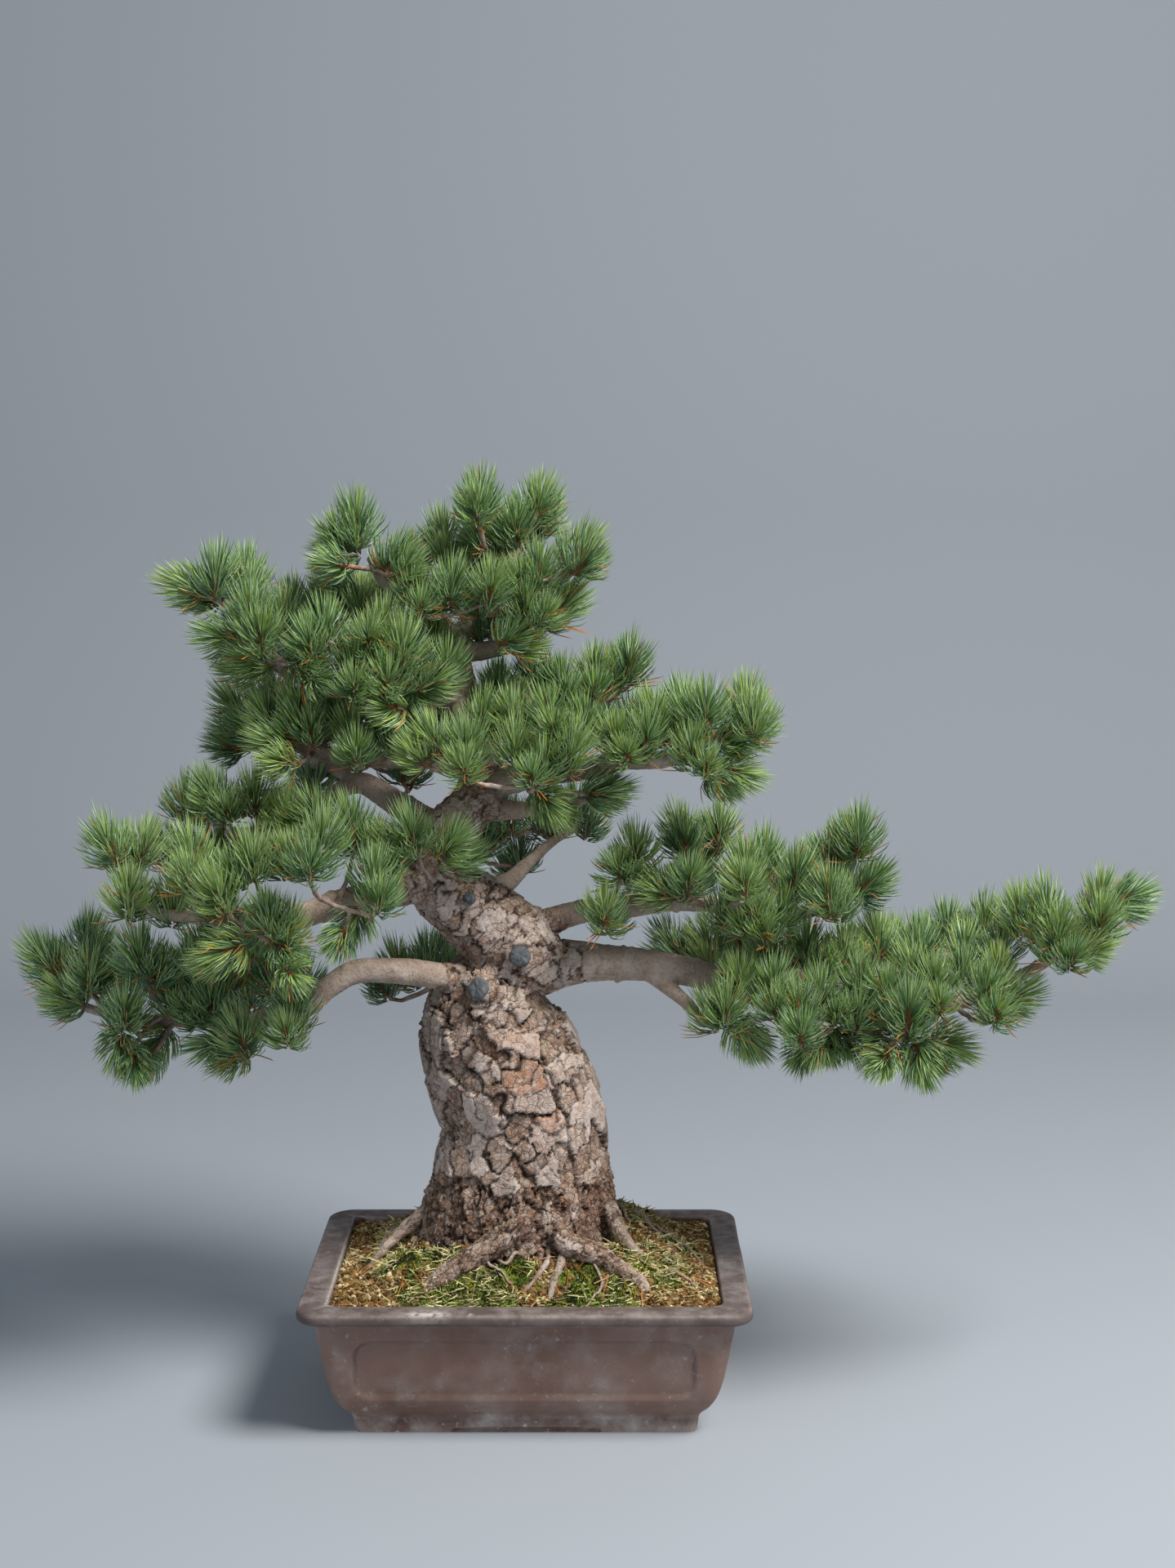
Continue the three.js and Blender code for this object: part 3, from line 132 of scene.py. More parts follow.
# Plates that have lost their outer flakes, by their place in the list, and how fresh they look.
FRESH_PLATES = {0: 1.0, 2: 0.85, 8: 0.4, 22: 0.8, 29: 0.6}
LEADER = [
    [10, 0, 386, 33], [-4, -2, 413, 39], [-28, -6, 437, 37.5], [-54, -10, 458, 35],
    [-76, -14, 478, 32], [-84, -15, 500, 29], [-76, -11, 521, 26], [-58, -5, 540, 23],
    [-44, 0, 562, 21], [-42, 2, 586, 19.5], [-52, 3, 617, 17.5], [-59, 2, 650, 16],
    [-62, 0, 682, 13], [-62, 0, 708, 10],
]
LIMBS = table("""
    left_low: -41 -8 388 17, -77 -28 398 13, -120 -45 407 11.5, -152 -55 408 11, -174 -60 396 10,
        -199 -60 373 8, -250 -60 365 7, -302 -55 363 6, -352 -55 366 5, -402 -45 377 4, -424 -40 394
        3.5;
    left_front: -84 -15 484 20, -125 -55 478 14, -166 -85 474 12.5, -205 -100 463 10, -241 -105 461
        7.5, -281 -100 465 6, -322 -90 469 5, -352 -80 485 4;
    left_back: -76 -4 525 16, -128 25 553 11.5, -154 30 567 10, -189 5 550 7, -228 -15 530 5.5, -269
        -30 529 4.5;
    left_mid: -46 0 588 12, -86 -10 593 9, -135 -20 594 8, -193 -30 605 6.5, -216 -32 619 5;
    left_mid_back: -150 29 565 9, -186 50 582 7.5, -229 58 585 6, -259 58 604 4.5;
    left_up: -58 0 651 12, -91 -15 651 10.5, -126 -30 653 9.5, -162 -30 662 8.5, -209 -25 673 7.5,
        -233 -18 691 6.5, -252 -12 716 5, -268 -10 736 4;
    apex_left: -62 0 702 9.5, -80 -5 717 8.5, -101 -10 734 7.5, -125 -10 752 6, -138 -10 775 4.5;
    apex_mid: -62 0 702 9.5, -44 5 724 8, -24 5 752 7, -16 5 779 5;
    apex_right: -62 0 688 10, -29 -8 692 8, 1 -12 701 7, 18 -12 714 5;
    apex_high: -44 5 722 7, -12 10 727 6, 19 8 743 5.5, 37 4 762 4.5;
    right_up: -55 0 629 12, -26 12 629 9, 14 22 632 8, 59 25 638 6.5, 83 25 652 5;
    right_mid: -44 0 566 15, -3 -15 577 11.5, 52 -30 587 10, 82 -38 595 9, 128 -45 598 7.5, 162 -47
        615 5.5, 183 -47 626 4.5;
    right_mid_low: -42 -2 546 13, 4 -22 549 6.5, 36 -32 555 5, 63 -35 562 3.5;
    right_high: 0 0 434 16, 44 -10 453 11, 94 -20 461 10, 133 -20 465 9, 166 -12 462 8, 204 -4 453
        7, 238 0 449 6.5, 271 0 458 6, 294 0 481 5;
    right_low: 5 0 400 30, 38 0 405 21, 72 0 405 17, 115 -5 403 14.5, 167 -15 394 12.5, 217 -30 380
        10.5, 275 -40 367 9, 326 -45 364 8, 377 -45 374 7, 423 -42 392 6, 473 -36 417 5, 507 -30 442
        4;
    right_low_back: 112 -3 402 10, 162 35 392 7, 224 55 381 6.5, 301 58 382 6, 369 55 390 5, 410 45
        404 4;
    right_low_front: 112 -8 398 9, 147 -38 373 5.5, 162 -50 358 4.5;
    back_mid: -52 5 473 16, -24 52 467 10, 3 85 487 5.5, 26 110 503 4.5, 46 125 513 4;
    back_low: -32 20 386 17, -64 70 377 9, -93 98 368 6.5;
    back_high: -50 4 613 11, -47 55 613 8.5, -41 100 613 6.5;
    knob: -44 0 556 15, -36 -22 553 12
""")
ROOTS = table("""
    front_left: 0 -40 200 17, -4 -66 184 15, -22 -77 169 13.5, -49 -86 154 11.5, -79 -96 136 9, -100
        -104 116 6;
    front_right: 20 -50 180 15, 36 -74 165 12, 63 -82 157 10, 83 -88 146 8.5, 104 -94 132 7, 122
        -101 112 5;
    front_thin: 24 -66 166 4.4, 19 -84 152 3.2, 7 -99 138 2.6, -11 -110 122 2.2;
    front_short: 33 -66 160 5.4, 31 -86 149 4.4, 25 -99 138 3.8, 20 -112 121 2.6;
    right: 62 -20 190 12, 78 -32 176 9, 88 -43 159 6.5, 99 -50 148 5.5, 114 -56 132 4;
    left: -76 -4 186 12, -94 -9 171 9, -116 -15 156 6.5, -131 -28 144 4.5, -145 -36 128 3;
    back_left: -46 56 186 13, -58 76 168 10, -76 92 146 7, -96 102 122 4;
    back_right: 40 56 186 13, 52 76 168 10, 68 92 146 7, 88 101 122 4
""")
TRUNK_DEPTH_RATIO = 0.88

# Pruning cuts sealed with paste: the middle of the cut, the way it faces and its radius.
CUTS = {
    "low": ([-42, -52, 392], [-0.25, -0.9, 0.3], 9.5),
    "middle": ([-5, -44, 420], [0.05, -0.95, 0.3], 9),
    "high": ([-50, -47, 473], [0.05, -0.95, 0.25], 5.5),
}
CUT_COLLAR = 1.5
CUT_DEPTH = 30

# Each leafy twig and the limb it grows from, then its tufts as x, y, z of the bud, size, and
# where a tuft doesn't point up, how far it leans right and up. A spray's last tufts may be
# inner ones that cover its limb.
SPRAYS = table("""
    apex_1 on apex_left: -150 -10 795 1.15, -158 -10 778 0.9 -1 0.3, -118 -20 770 0.9 0.5 0.9;
    apex_2 on apex_left: -165 35 745 1 -0.8 0.6, -140 42 735 0.95, -105 25 760 0.9;
    apex_3 on apex_mid: -100 -34 742 0.85, -65 -42 742 1, -30 -50 745 0.95;
    apex_4 on apex_mid: -75 25 785 0.95, -40 -5 818 1, -36 20 795 0.85 -0.5 0.8, -55 45 760 1;
    apex_5 on apex_mid: 10 5 815 1, -8 -10 795 0.95, 5 30 795 0.9;
    apex_6 on apex_high: 45 0 772 1.05 0.6 0.8, 12 -30 757 1, -20 62 755 1, 15 55 735 1;
    apex_7 on apex_right: 30 -12 727 1.05 0.6 0.8, 0 -38 725 0.9, -15 -42 702 0.8 0.6 0.4, -30 6 712
        0.8;
    upper_left_1 on left_up: -275 -15 750 1.1, -298 -5 745 0.95 -1 0.5, -252 15 752 1;
    upper_left_2 on left_up: -240 -40 715 1.2, -262 -36 705 0.9 -1 0.4, -215 -18 712 1;
    upper_left_3 on left_up: -150 -60 675 0.95, -125 -50 708 1, -232 -42 684 0.9 -1 0.15, -198 -52
        682 0.9 0.8 -0.05, -175 -45 705 1;
    upper_left_4 on left_up: -190 34 722 0.9, -155 40 726 0.9, -215 42 722 1, -200 58 688 1, -155 62
        682 1, -110 55 685 1;
    upper_left_5 on left_up: -105 -72 690 1.1, -118 -80 665 0.9, -86 -66 664 0.9 0.8 0.4, -112 -78
        646 0.75 -0.8 0.3, -70 -45 675 0.9, -82 -20 700 0.9;
    mid_left_1 on left_mid_back: -200 75 632 1, -160 78 628 1, -235 92 606 1, -262 40 630 1 -0.8
        0.6, -235 28 640 1, -266 58 606 0.9 -0.8 0.2, -150 58 588 0.8, -118 62 572 0.8;
    mid_left_2 on left_mid: -200 -42 635 1, -214 -50 612 0.9 -1 0.3, -226 -32 628 0.9 -0.5 0.8;
    mid_left_3 on left_mid: -150 -50 616 1, -175 -15 622 0.9, -122 -50 615 0.95, -108 -25 630 0.9;
    mid_right_1 on right_mid: -76 -78 612 1 -0.6 0.8, -50 -88 608 1.05, -8 -80 605 1, 18 -88 595
        0.9, -10 -55 630 0.95, -38 -58 630 0.9;
    mid_right_2 on right_mid: 40 -85 605 1.1, 22 -58 632 1, 52 -48 625 0.9;
    mid_right_3 on right_up: -26 -10 650 0.9, 8 8 662 0.95, 32 -6 656 0.9, 62 14 662 0.95, 92 20 670
        1, 80 48 660 0.95;
    mid_right_4 on right_mid: 80 -62 612 1, 106 -72 615 0.95, 114 -52 630 1, 146 -80 602 0.95, 178
        -60 590 1 0.8 -0.2;
    mid_right_5 on right_mid: 95 28 620 1, 138 22 620 1, 158 -69 634 1.1, 140 -30 636 1, 194 -44 636
        1.1, 190 -52 620 0.95 1 0.2;
    mid_right_6 on right_mid_low: 16 -62 566 0.8 0.3 -0.3, 64 -48 568 0.95 1 0.1;
    mid_right_7 on right_up: 18 72 636 1, 58 78 622 1, -22 68 636 1;
    left_1 on left_front: -150 -82 538 1.05, -130 -92 520 0.9, -170 -148 530 1.25, -128 -128 498
        1.05, -142 -124 470 0.7 -0.2 -0.8;
    left_2 on left_front: -255 -150 490 1.05, -215 -148 470 0.9, -246 -148 448 0.9 -1 -0.1, -204
        -138 446 0.8 0.3 -0.4;
    left_3 on left_front: -362 -74 520 1 -0.4 0.9, -338 -52 515 0.95, -345 -92 476 1.1;
    left_4 on left_front: -285 -105 515 1.05, -308 -62 477 1, -230 -130 515 1.05, -262 -98 452 0.85;
    left_5 on left_back: -325 5 500 1, -288 28 495 1, -245 42 500 1, -275 -45 560 1 -0.3 0.9, -240
        -44 556 1.05, -308 -6 548 0.9, -196 50 566 0.85;
    left_6 on left_back: -210 -60 545 1, -182 -68 546 1, -200 -118 515 0.95;
    left_7 on leader: -96 -102 534 1.05 -0.3 0.9, -68 -90 524 1 0.4 0.9;
    low_left_1 on left_low: -428 -38 410 1 -0.5 0.8, -402 -54 382 0.95 -0.9 0.4, -385 -72 404 1.05;
    low_left_2 on left_low: -336 -90 424 1.05, -350 -95 376 1, -356 -86 352 0.8 0 -1;
    low_left_3 on left_low: -260 -58 404 0.95, -225 -60 402 0.95, -298 -44 405 0.9, -310 -72 382
        0.95, -324 -62 350 0.8 -0.5 -0.6, -276 -82 380 1, -285 -66 432 0.9, -240 -72 430 0.85;
    low_left_4 on left_low: -246 -100 355 1.15, -270 -84 352 0.9 -0.8 -0.1, -202 -95 376 1.1;
    low_left_5 on left_low: -312 32 372 1, -256 25 366 1, -206 4 378 0.9, -405 12 418 0.95, -362 24
        386 1;
    right_1 on right_high: 70 -56 456 0.95, 98 -32 506 1.05 -0.3 0.9, 110 -26 486 0.85 -0.9 0.2;
    right_2 on right_high: 142 34 515 0.95, 176 40 515 1, 160 60 475 0.95, 210 64 466 1, 264 58 476
        1;
    right_3 on right_high: 145 -56 486 1.05, 195 -60 495 1.1, 206 -56 456 0.95 -0.2 0.9, 175 -45 454
        0.85;
    right_4 on right_high: 240 -38 486 1.05, 216 -2 496 0.95, 270 -50 470 1.05, 228 -42 454 0.85;
    right_5 on right_high: 300 -6 514 1.1 0.2 1, 306 -20 478 1 0.5 0.8, 278 20 496 0.95;
    low_right_1 on right_low_back: 170 58 404 1 -0.3 0.9, 136 72 402 0.95 -0.6 0.7, 200 84 400 1;
    low_right_2 on right_low: 220 -8 405 1.05, 252 -14 416 1, 286 -22 410 1, 320 -8 420 1.05, 298
        -62 392 1;
    low_right_3 on right_low_front: 178 -70 372 1.05, 192 -60 356 0.85 0.6 -0.7;
    low_right_4 on right_low: 240 -90 374 1.15, 220 -62 392 0.95, 262 -64 350 0.85 -0.2 -0.6, 262
        -70 386 0.85, 190 -55 396 0.85;
    low_right_5 on right_low: 335 -98 374 1.3, 318 -80 348 0.95 -0.4 -0.4, 346 -84 342 0.9 0.2 -1,
        370 -70 346 0.9 0.9 -0.2, 292 -84 372 0.9, 285 -62 352 0.8 0.2 -0.4;
    low_right_6 on right_low: 355 -22 415 1.1, 362 -70 396 1, 398 -6 412 1, 428 -16 418 0.95, 318
        -78 392 0.85;
    low_right_7 on right_low: 404 -80 390 1.1, 428 -64 384 1 0.9 0.3;
    low_right_8 on right_low: 446 -20 446 1, 466 -42 454 1.1, 470 -62 430 1.05, 500 -44 436 0.85 1
        0.2, 514 -28 460 1.05, 536 -24 468 0.95 0.9 0.4;
    low_right_9 on right_low_back: 260 98 388 1, 305 94 392 1, 350 84 398 1, 394 70 416 1, 424 44
        428 0.95;
    back_1 on back_low: -100 120 375 1, -84 132 380 1, -126 104 372 0.95;
    back_2 on back_mid: -45 108 495 0.95, -10 148 472 0.9, -20 112 516 1, 10 138 512 1, 42 130 522
        0.95;
    back_3 on back_high: -70 122 630 1, -35 132 636 1, -4 128 598 1
""")
TUFT_NOD = 0.22
TWIG_ROOT_RADIUS = 2.6
TWIG_TIP_RADIUS = 1.7
GOLDEN_ANGLE = math.pi * (3 - math.sqrt(5))


def srgb(code):
    """A screen colour such as "6e5f58" as the linear numbers that shaders work in."""
    parts = (int(code[i:i + 2], 16) / 255 for i in (0, 2, 4))
    return tuple(part / 12.92 if part <= 0.04045 else ((part + 0.055) / 1.055) ** 2.4 for part in parts)


def colour_setting(name, description, code):
    return FloatVectorProperty(name=name, description=description, subtype="COLOR", size=3,
                               min=0.0, max=1.0, default=srgb(code))


def length_setting(name, description, millimetres):
    return FloatProperty(name=name, description=description, subtype="DISTANCE", unit="LENGTH",
                         min=0.0, default=millimetres * MM)


# ---- settings ----


class PotSettings(PropertyGroup):
    """The fired clay."""
    clay: colour_setting("Clay", "Main colour of the unglazed clay", "8a6c60")
    scorched: colour_setting("Scorched", "Darker, browner patches left by the kiln", "6a4d41")
    # The lip colour also paints shade along the panels' outlines and in the groove above the feet.
    lip: colour_setting("Lip", "Weathered lip", "4d4343")
    worn: colour_setting("Worn", "Edges and scuffs rubbed pale", "94847b")
    bloom: colour_setting("Bloom", "White minerals left by dried water", "c4bdb8")
    fineness: length_setting("Fineness", "Side of the mesh's faces on the walls", 2.9)


class SoilSettings(PropertyGroup):
    """Grit, moss and what has fallen on them."""
    grit: colour_setting("Grit", "Main colour of the fired clay grains", "a5834f")
    # Dark grit also serves as painted shade: the bed is darkened with it, and grains in hollows take it.
    dark_grit: colour_setting("Dark grit", "Wet or older grains", "46301a")
    pale_grit: colour_setting("Pale grit", "Pumice among the grains", "ead9ae")
    moss: colour_setting("Moss", "Sunlit moss", "7d8b30")
    deep_moss: colour_setting("Deep moss", "Shaded moss", "16280a")
    straw: colour_setting("Straw", "Dry strands among the moss", "e6dba6")
    grain: length_setting("Grain", "Mean width of a grain", 3.0)
    grains: IntProperty(name="Grains", description="How many loose grains", default=11500, min=0)
    blades: IntProperty(name="Moss shoots", description="How many shoots of moss", default=15000, min=0)


class BarkSettings(PropertyGroup):
    """Trunk, limbs, roots and twigs."""
    plate: colour_setting("Plate", "Weathered face of the bark plates", "b99f8c")
    pale: colour_setting("Pale", "Palest plates", "dccfc7")
    warm: colour_setting("Warm", "Freshly flaked bark", "b98668")
    ruddy: colour_setting("Ruddy", "Bark of the base and of old flakes", "7a5139")
    # The crack colour is the dark inner bark and also painted shade in cracks, seams, under flakes and in
    # ring creases.
    crack: colour_setting("Crack", "Depth of the cracks", "3b291f")
    crust: colour_setting("Crust", "Pale crust on top of roots and ledges", "b5a488")
    limb: colour_setting("Limb", "Smooth bark of the limbs", "b3a192")
    stump_fineness: length_setting("Stump fineness", "Side of the mesh's faces on the stump", 1.7)
    limb_fineness: length_setting("Limb fineness", "Side of the mesh's faces on the limbs", 2.2)
    crack_depth: length_setting("Crack depth", "Depth of the cracks between plates", 4.6)


class NeedleSettings(PropertyGroup):
    """Needles, buds and twigs."""
    green: colour_setting("Green", "Outer face of a needle", "527f33")
    blue: colour_setting("Blue", "Outer face of a shaded needle", "3a6650")
    fresh: colour_setting("Fresh", "Outer face of a young needle", "93ab47")
    stripe: colour_setting("Stripe", "Waxy inner faces", "b7d0a4")
    dead: colour_setting("Dead", "Withered needle", "b0763a")
    bud: colour_setting("Bud", "Bud scales", "a2633a")
    length: length_setting("Length", "Length of a full needle", 35.0)
    width: length_setting("Width", "Width of a needle", 1.1)
    bundles: IntProperty(name="Bundles", description="Bundles of five on a full tuft", default=40, min=1)


class PasteSettings(PropertyGroup):
    """Wound paste and drain mesh."""
    paste: colour_setting("Paste", "Dried wound paste", "5a5d60")
    mesh: colour_setting("Mesh", "Plastic drain mesh", "2b2b2b")


class StageSettings(PropertyGroup):
    """Floor, light and camera."""
    floor: colour_setting("Floor", "Floor and backdrop", "a4abb3")
    key: FloatProperty(name="Key", description="Strength of the main light", unit="POWER", default=138.0)
    fill: FloatProperty(name="Fill", description="Strength of the light from the left", unit="POWER",
                        default=11.0)
    sky: FloatProperty(name="Sky", description="Strength of the light from all round", default=0.24)
    lens: FloatProperty(name="Lens", description="Focal length", unit="CAMERA", default=52.5)


class BonsaiSettings(PropertyGroup):
    """All settings of the tree and its stage."""
    pot: PointerProperty(name="Pot", description="The pot", type=PotSettings)
    soil: PointerProperty(name="Soil", description="Soil and moss", type=SoilSettings)
    bark: PointerProperty(name="Bark", description="The wood", type=BarkSettings)
    needles: PointerProperty(name="Needles", description="The foliage", type=NeedleSettings)
    paste: PointerProperty(name="Paste", description="Small parts", type=PasteSettings)
    stage: PointerProperty(name="Stage", description="The studio", type=StageSettings)


# ---- numbers ----


def smooth_step(low, high, value):
    t = np.clip((value - low) / (high - low), 0.0, 1.0)
    return t * t * (3 - 2 * t)


def hump(value, middle, width):
    """A smooth hump: 1 at its middle, and under a fiftieth at two widths from it."""
    return np.exp(-((value - middle) / width) ** 2)


def clouds(points, scale, falloff, octaves):
    """Layered smooth noise from about -1 to 1 at each point."""
    return np.array([noise.fractal(Vector(p) * scale, falloff, 2.0, octaves) for p in points])


def unit(vectors):
    vectors = np.asarray(vectors, float)
    return vectors / np.maximum(np.linalg.norm(vectors, axis=-1, keepdims=True), 1e-9)


def to_frame(points):
    """Millimetres round the middle of the pot as metres in the frame."""
    return np.asarray(points, float) * MM + POT_MIDDLE


def from_frame(points):
    return (np.asarray(points, float) - POT_MIDDLE) / MM


def seeded(seed):
    """The same row of even draws from 0 to 1 that the construction uses."""
    state = seed & 0xffffffff

    def draw():
        nonlocal state
        state = (state + 0x6d2b79f5) & 0xffffffff
        mixed = ((state ^ (state >> 15)) * (state | 1)) & 0xffffffff
        mixed ^= (mixed + ((mixed ^ (mixed >> 7)) * (mixed | 61) & 0xffffffff)) & 0xffffffff
        return ((mixed ^ (mixed >> 14)) & 0xffffffff) / 4294967296
    return draw


def spline(rows, steps):
    """A smooth curve through rows of numbers, with so many steps in each stretch."""
    rows = np.array(rows, float)
    rows = np.vstack([2 * rows[0] - rows[1], rows, 2 * rows[-1] - rows[-2]])
    shares = np.arange(steps)[:, None] / steps
    curve = []
    for before, start, end, after in zip(rows, rows[1:], rows[2:], rows[3:]):
        ahead, here, behind = (max(np.linalg.norm(b[:3] - a[:3]), 1e-4) ** 0.5
                               for a, b in ((before, start), (start, end), (end, after)))
        leave = (start - before) / ahead - (end - before) / (ahead + here) + (end - start) / here
        arrive = (end - start) / here - (after - start) / (here + behind) + (after - end) / behind
        leave, arrive = leave * here, arrive * here
        curve.append(start + leave * shares + (3 * (end - start) - 2 * leave - arrive) * shares ** 2
                     + (2 * (start - end) + leave + arrive) * shares ** 3)
    return np.vstack([*curve, rows[-2]])


def resample(rows, step):
    """Points a step apart along a broken line."""
    rows = np.array(rows, float)
    lengths = np.concatenate([[0], np.cumsum(np.linalg.norm(np.diff(rows, axis=0), axis=1))])
    count = max(2, int(lengths[-1] / step) + 1)
    stations = np.linspace(0, lengths[-1], count)
    return np.column_stack([np.interp(stations, lengths, column) for column in rows.T])


def cut_corners(rows, rounds=2):
    """A broken line with its corners rounded by cutting them off a few times."""
    rows = np.array(rows, float)
    for _ in range(rounds):
        start, end = rows[:-1], rows[1:]
        pairs = np.stack([0.75 * start + 0.25 * end, 0.25 * start + 0.75 * end], axis=1)
        rows = np.vstack([rows[:1], pairs.reshape(-1, rows.shape[1]), rows[-1:]])
    return rows


def round_corners(rows, radius, steps=4):
    """A broken line whose corners are rounded, less where its stretches are short."""
    rows = np.array(rows, float)
    t = np.linspace(0, 1, steps + 1)[:, None]
    rounded = [rows[:1]]
    for before, corner, after in zip(rows, rows[1:], rows[2:]):
        back = min(radius, 0.45 * np.linalg.norm(before - corner))
        on = min(radius, 0.45 * np.linalg.norm(after - corner))
        start = corner + unit(before - corner) * back
        end = corner + unit(after - corner) * on
        rounded.append((1 - t) ** 2 * start + 2 * t * (1 - t) * corner + t ** 2 * end)
    return np.vstack([*rounded, rows[-1:]])


def frames_along(places, first_side):
    """Tangent, side and across vectors along a curve, without twist."""
    tangents = unit(np.gradient(places, axis=0))
    sides = np.empty_like(tangents)
    side = np.asarray(first_side, float)
    for i, tangent in enumerate(tangents):
        side = side - tangent * np.dot(side, tangent)
        side = side / max(np.linalg.norm(side), 1e-9)
        sides[i] = side
    return tangents, sides, np.cross(tangents, sides)


def first_side_of(places):
    start = unit(places[1] - places[0])
    return np.array([1.0, 0, 0]) if abs(start[1]) > 0.9 else np.array([0, 1.0, 0])


# ---- meshes ----


class Shape:
    """Points and triangles of a mesh in the making, in millimetres round the middle of the pot."""

    def __init__(self):
        self.points = []
        self.tones = []
        self.triangles = []
        self.marks = []
        self.materials = []
        self.smooth = []
        self.count = 0

    def add(self, points, triangles, tone=(0, 0, 0, 0), mark=0.0, material=0, smooth=False):
        """Adds a part. A tone is four numbers for each point, and a mark is one for each face."""
        points = np.asarray(points, float).reshape(-1, 3)
        triangles = np.asarray(triangles, int).reshape(-1, 3)
        self.points.append(points)
        self.tones.append(np.broadcast_to(np.asarray(tone, float), (len(points), 4)))
        self.triangles.append(triangles + self.count)
        self.marks.append(np.broadcast_to(np.asarray(mark, float), (len(triangles),)))
        self.materials.append(np.full(len(triangles), material))
        self.smooth.append(np.full(len(triangles), smooth))
        self.count += len(points)

    def piece(self, name, materials):
        """The finished object."""
        mesh = mesh_of(name, to_frame(np.vstack(self.points)), np.vstack(self.triangles))
        add_tones(mesh, np.vstack(self.tones))
        marks = mesh.attributes.new("mark", "FLOAT", "FACE")
        marks.data.foreach_set("value", np.concatenate(self.marks).astype(np.float32))
        mesh.polygons.foreach_set("material_index", np.concatenate(self.materials).astype(np.int32))
        mesh.polygons.foreach_set("use_smooth", np.concatenate(self.smooth))
        return show(mesh, materials)


def mesh_of(name, points, faces):
    """A mesh from points in metres and faces with three or four corners each."""
    mesh = bpy.data.meshes.new(name)
    faces = np.asarray(faces, np.int32)
    mesh.vertices.add(len(points))
    mesh.vertices.foreach_set("co", np.asarray(points, np.float32).ravel())
    mesh.loops.add(faces.size)
    mesh.loops.foreach_set("vertex_index", faces.ravel())
    mesh.polygons.add(len(faces))
    mesh.polygons.foreach_set("loop_start", np.arange(0, faces.size, faces.shape[1], dtype=np.int32))
    mesh.update(calc_edges=True)
    return mesh


def add_tones(mesh, values):
    """Keeps four numbers for each point, for the materials to read."""
    layer = mesh.attributes.new("tone", "FLOAT_COLOR", "POINT")
    layer.data.foreach_set("color", np.asarray(values, np.float32).ravel())


def show(mesh, materials):
    """An object of that mesh in the scene, with its materials."""
    piece = bpy.data.objects.new(mesh.name, mesh)
    bpy.context.scene.collection.objects.link(piece)
    for material in materials:
        mesh.materials.append(material)
    return piece


def settle(piece, slot_name, *nodes):
    """Fastens a finished piece to the body and hides the CAD nodes that it stands in for."""
    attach(piece, "root")
    if nodes:
        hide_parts(*nodes)


def apply_modifiers(piece):
    """Puts the result of the piece's modifiers into its mesh."""
    depsgraph = bpy.context.evaluated_depsgraph_get()
    result = bpy.data.meshes.new_from_object(piece.evaluated_get(depsgraph))
    old = piece.data
    name = old.name
    piece.modifiers.clear()
    piece.data = result
    bpy.data.meshes.remove(old)
    result.name = name
    result.materials.clear()


def points_of(mesh):
    places = np.empty(len(mesh.vertices) * 3, np.float32)
    mesh.vertices.foreach_get("co", places)
    return places.reshape(-1, 3).astype(float)


def normals_of(mesh):
    normals = np.empty(len(mesh.vertices) * 3, np.float32)
    mesh.vertex_normals.foreach_get("vector", normals)
    return normals.reshape(-1, 3).astype(float)


def ring_faces(rings, sides):
    """Triangles between closed rings of points, with a fan on each end round two last points."""
    ring, side = np.meshgrid(np.arange(rings - 1), np.arange(sides), indexing="ij")
    low = (ring * sides + side).ravel()
    low_next = (ring * sides + (side + 1) % sides).ravel()
    walls = np.vstack([np.column_stack([low, low_next, low_next + sides]),
                       np.column_stack([low, low_next + sides, low + sides])])
    around = np.arange(sides)
    onward = (around + 1) % sides
    first = rings * sides
    top = (rings - 1) * sides
    start = np.column_stack([np.full(sides, first), onward, around])
    end = np.column_stack([np.full(sides, first + 1), top + around, top + onward])
    return np.vstack([walls, start, end])


def repeated(faces, size, count):
    """The triangles of one small body of so many points, for a whole row of such bodies."""
    return (faces[None] + size * np.arange(count)[:, None, None]).reshape(-1, 3)


def closed_rings(rings):
    """Points and triangles of a closed body through an array of rings."""
    count, sides = rings.shape[:2]
    points = np.vstack([rings.reshape(-1, 3), rings[0].mean(axis=0), rings[-1].mean(axis=0)])
    return points, ring_faces(count, sides)


def tube_rings(places, radii, sides, swell=None, depth_ratio=1.0):
    """Rings of points round a curve. swell takes the angle and the share of the way."""
    _, side, across = frames_along(places, first_side_of(places))
    angles = 2 * math.pi * np.arange(sides) / sides
    reach = np.asarray(radii, float)[:, None] * np.ones(sides)
    if swell is not None:
        reach = reach * swell(angles[None, :], np.arange(len(places))[:, None])
    rings = (places[:, None, :] + (reach * np.cos(angles))[..., None] * side[:, None, :]
             + (reach * np.sin(angles))[..., None] * across[:, None, :])
    rings[..., 1] *= depth_ratio
    return rings


# ---- materials ----


def feed(tree, socket, value):
    """Links a socket to another one, or gives it a plain value."""
    if isinstance(value, bpy.types.NodeSocket):
        tree.links.new(value, socket)
    elif isinstance(value, (tuple, list)) and len(value) == 3 and len(socket.default_value) == 4:
        socket.default_value = (*value, 1.0)
    else:
        socket.default_value = value


def put(tree, kind, inputs=None, **options):
    """A new node with its options, and with its inputs fed by name or number."""
    node = tree.nodes.new(kind)
    for name, value in options.items():
        setattr(node, name, value)
    for name, value in (inputs or {}).items():
        feed(tree, node.inputs[name], value)
    return node


def blend(tree, share, first, second):
    """A mix of two colours."""
    return put(tree, "ShaderNodeMix", {0: share, 6: first, 7: second}, data_type="RGBA").outputs[2]


def sums(tree, operation, first, second):
    return put(tree, "ShaderNodeMath", {0: first, 1: second}, operation=operation).outputs[0]


def times(tree, first, second):
    return sums(tree, "MULTIPLY", first, second)


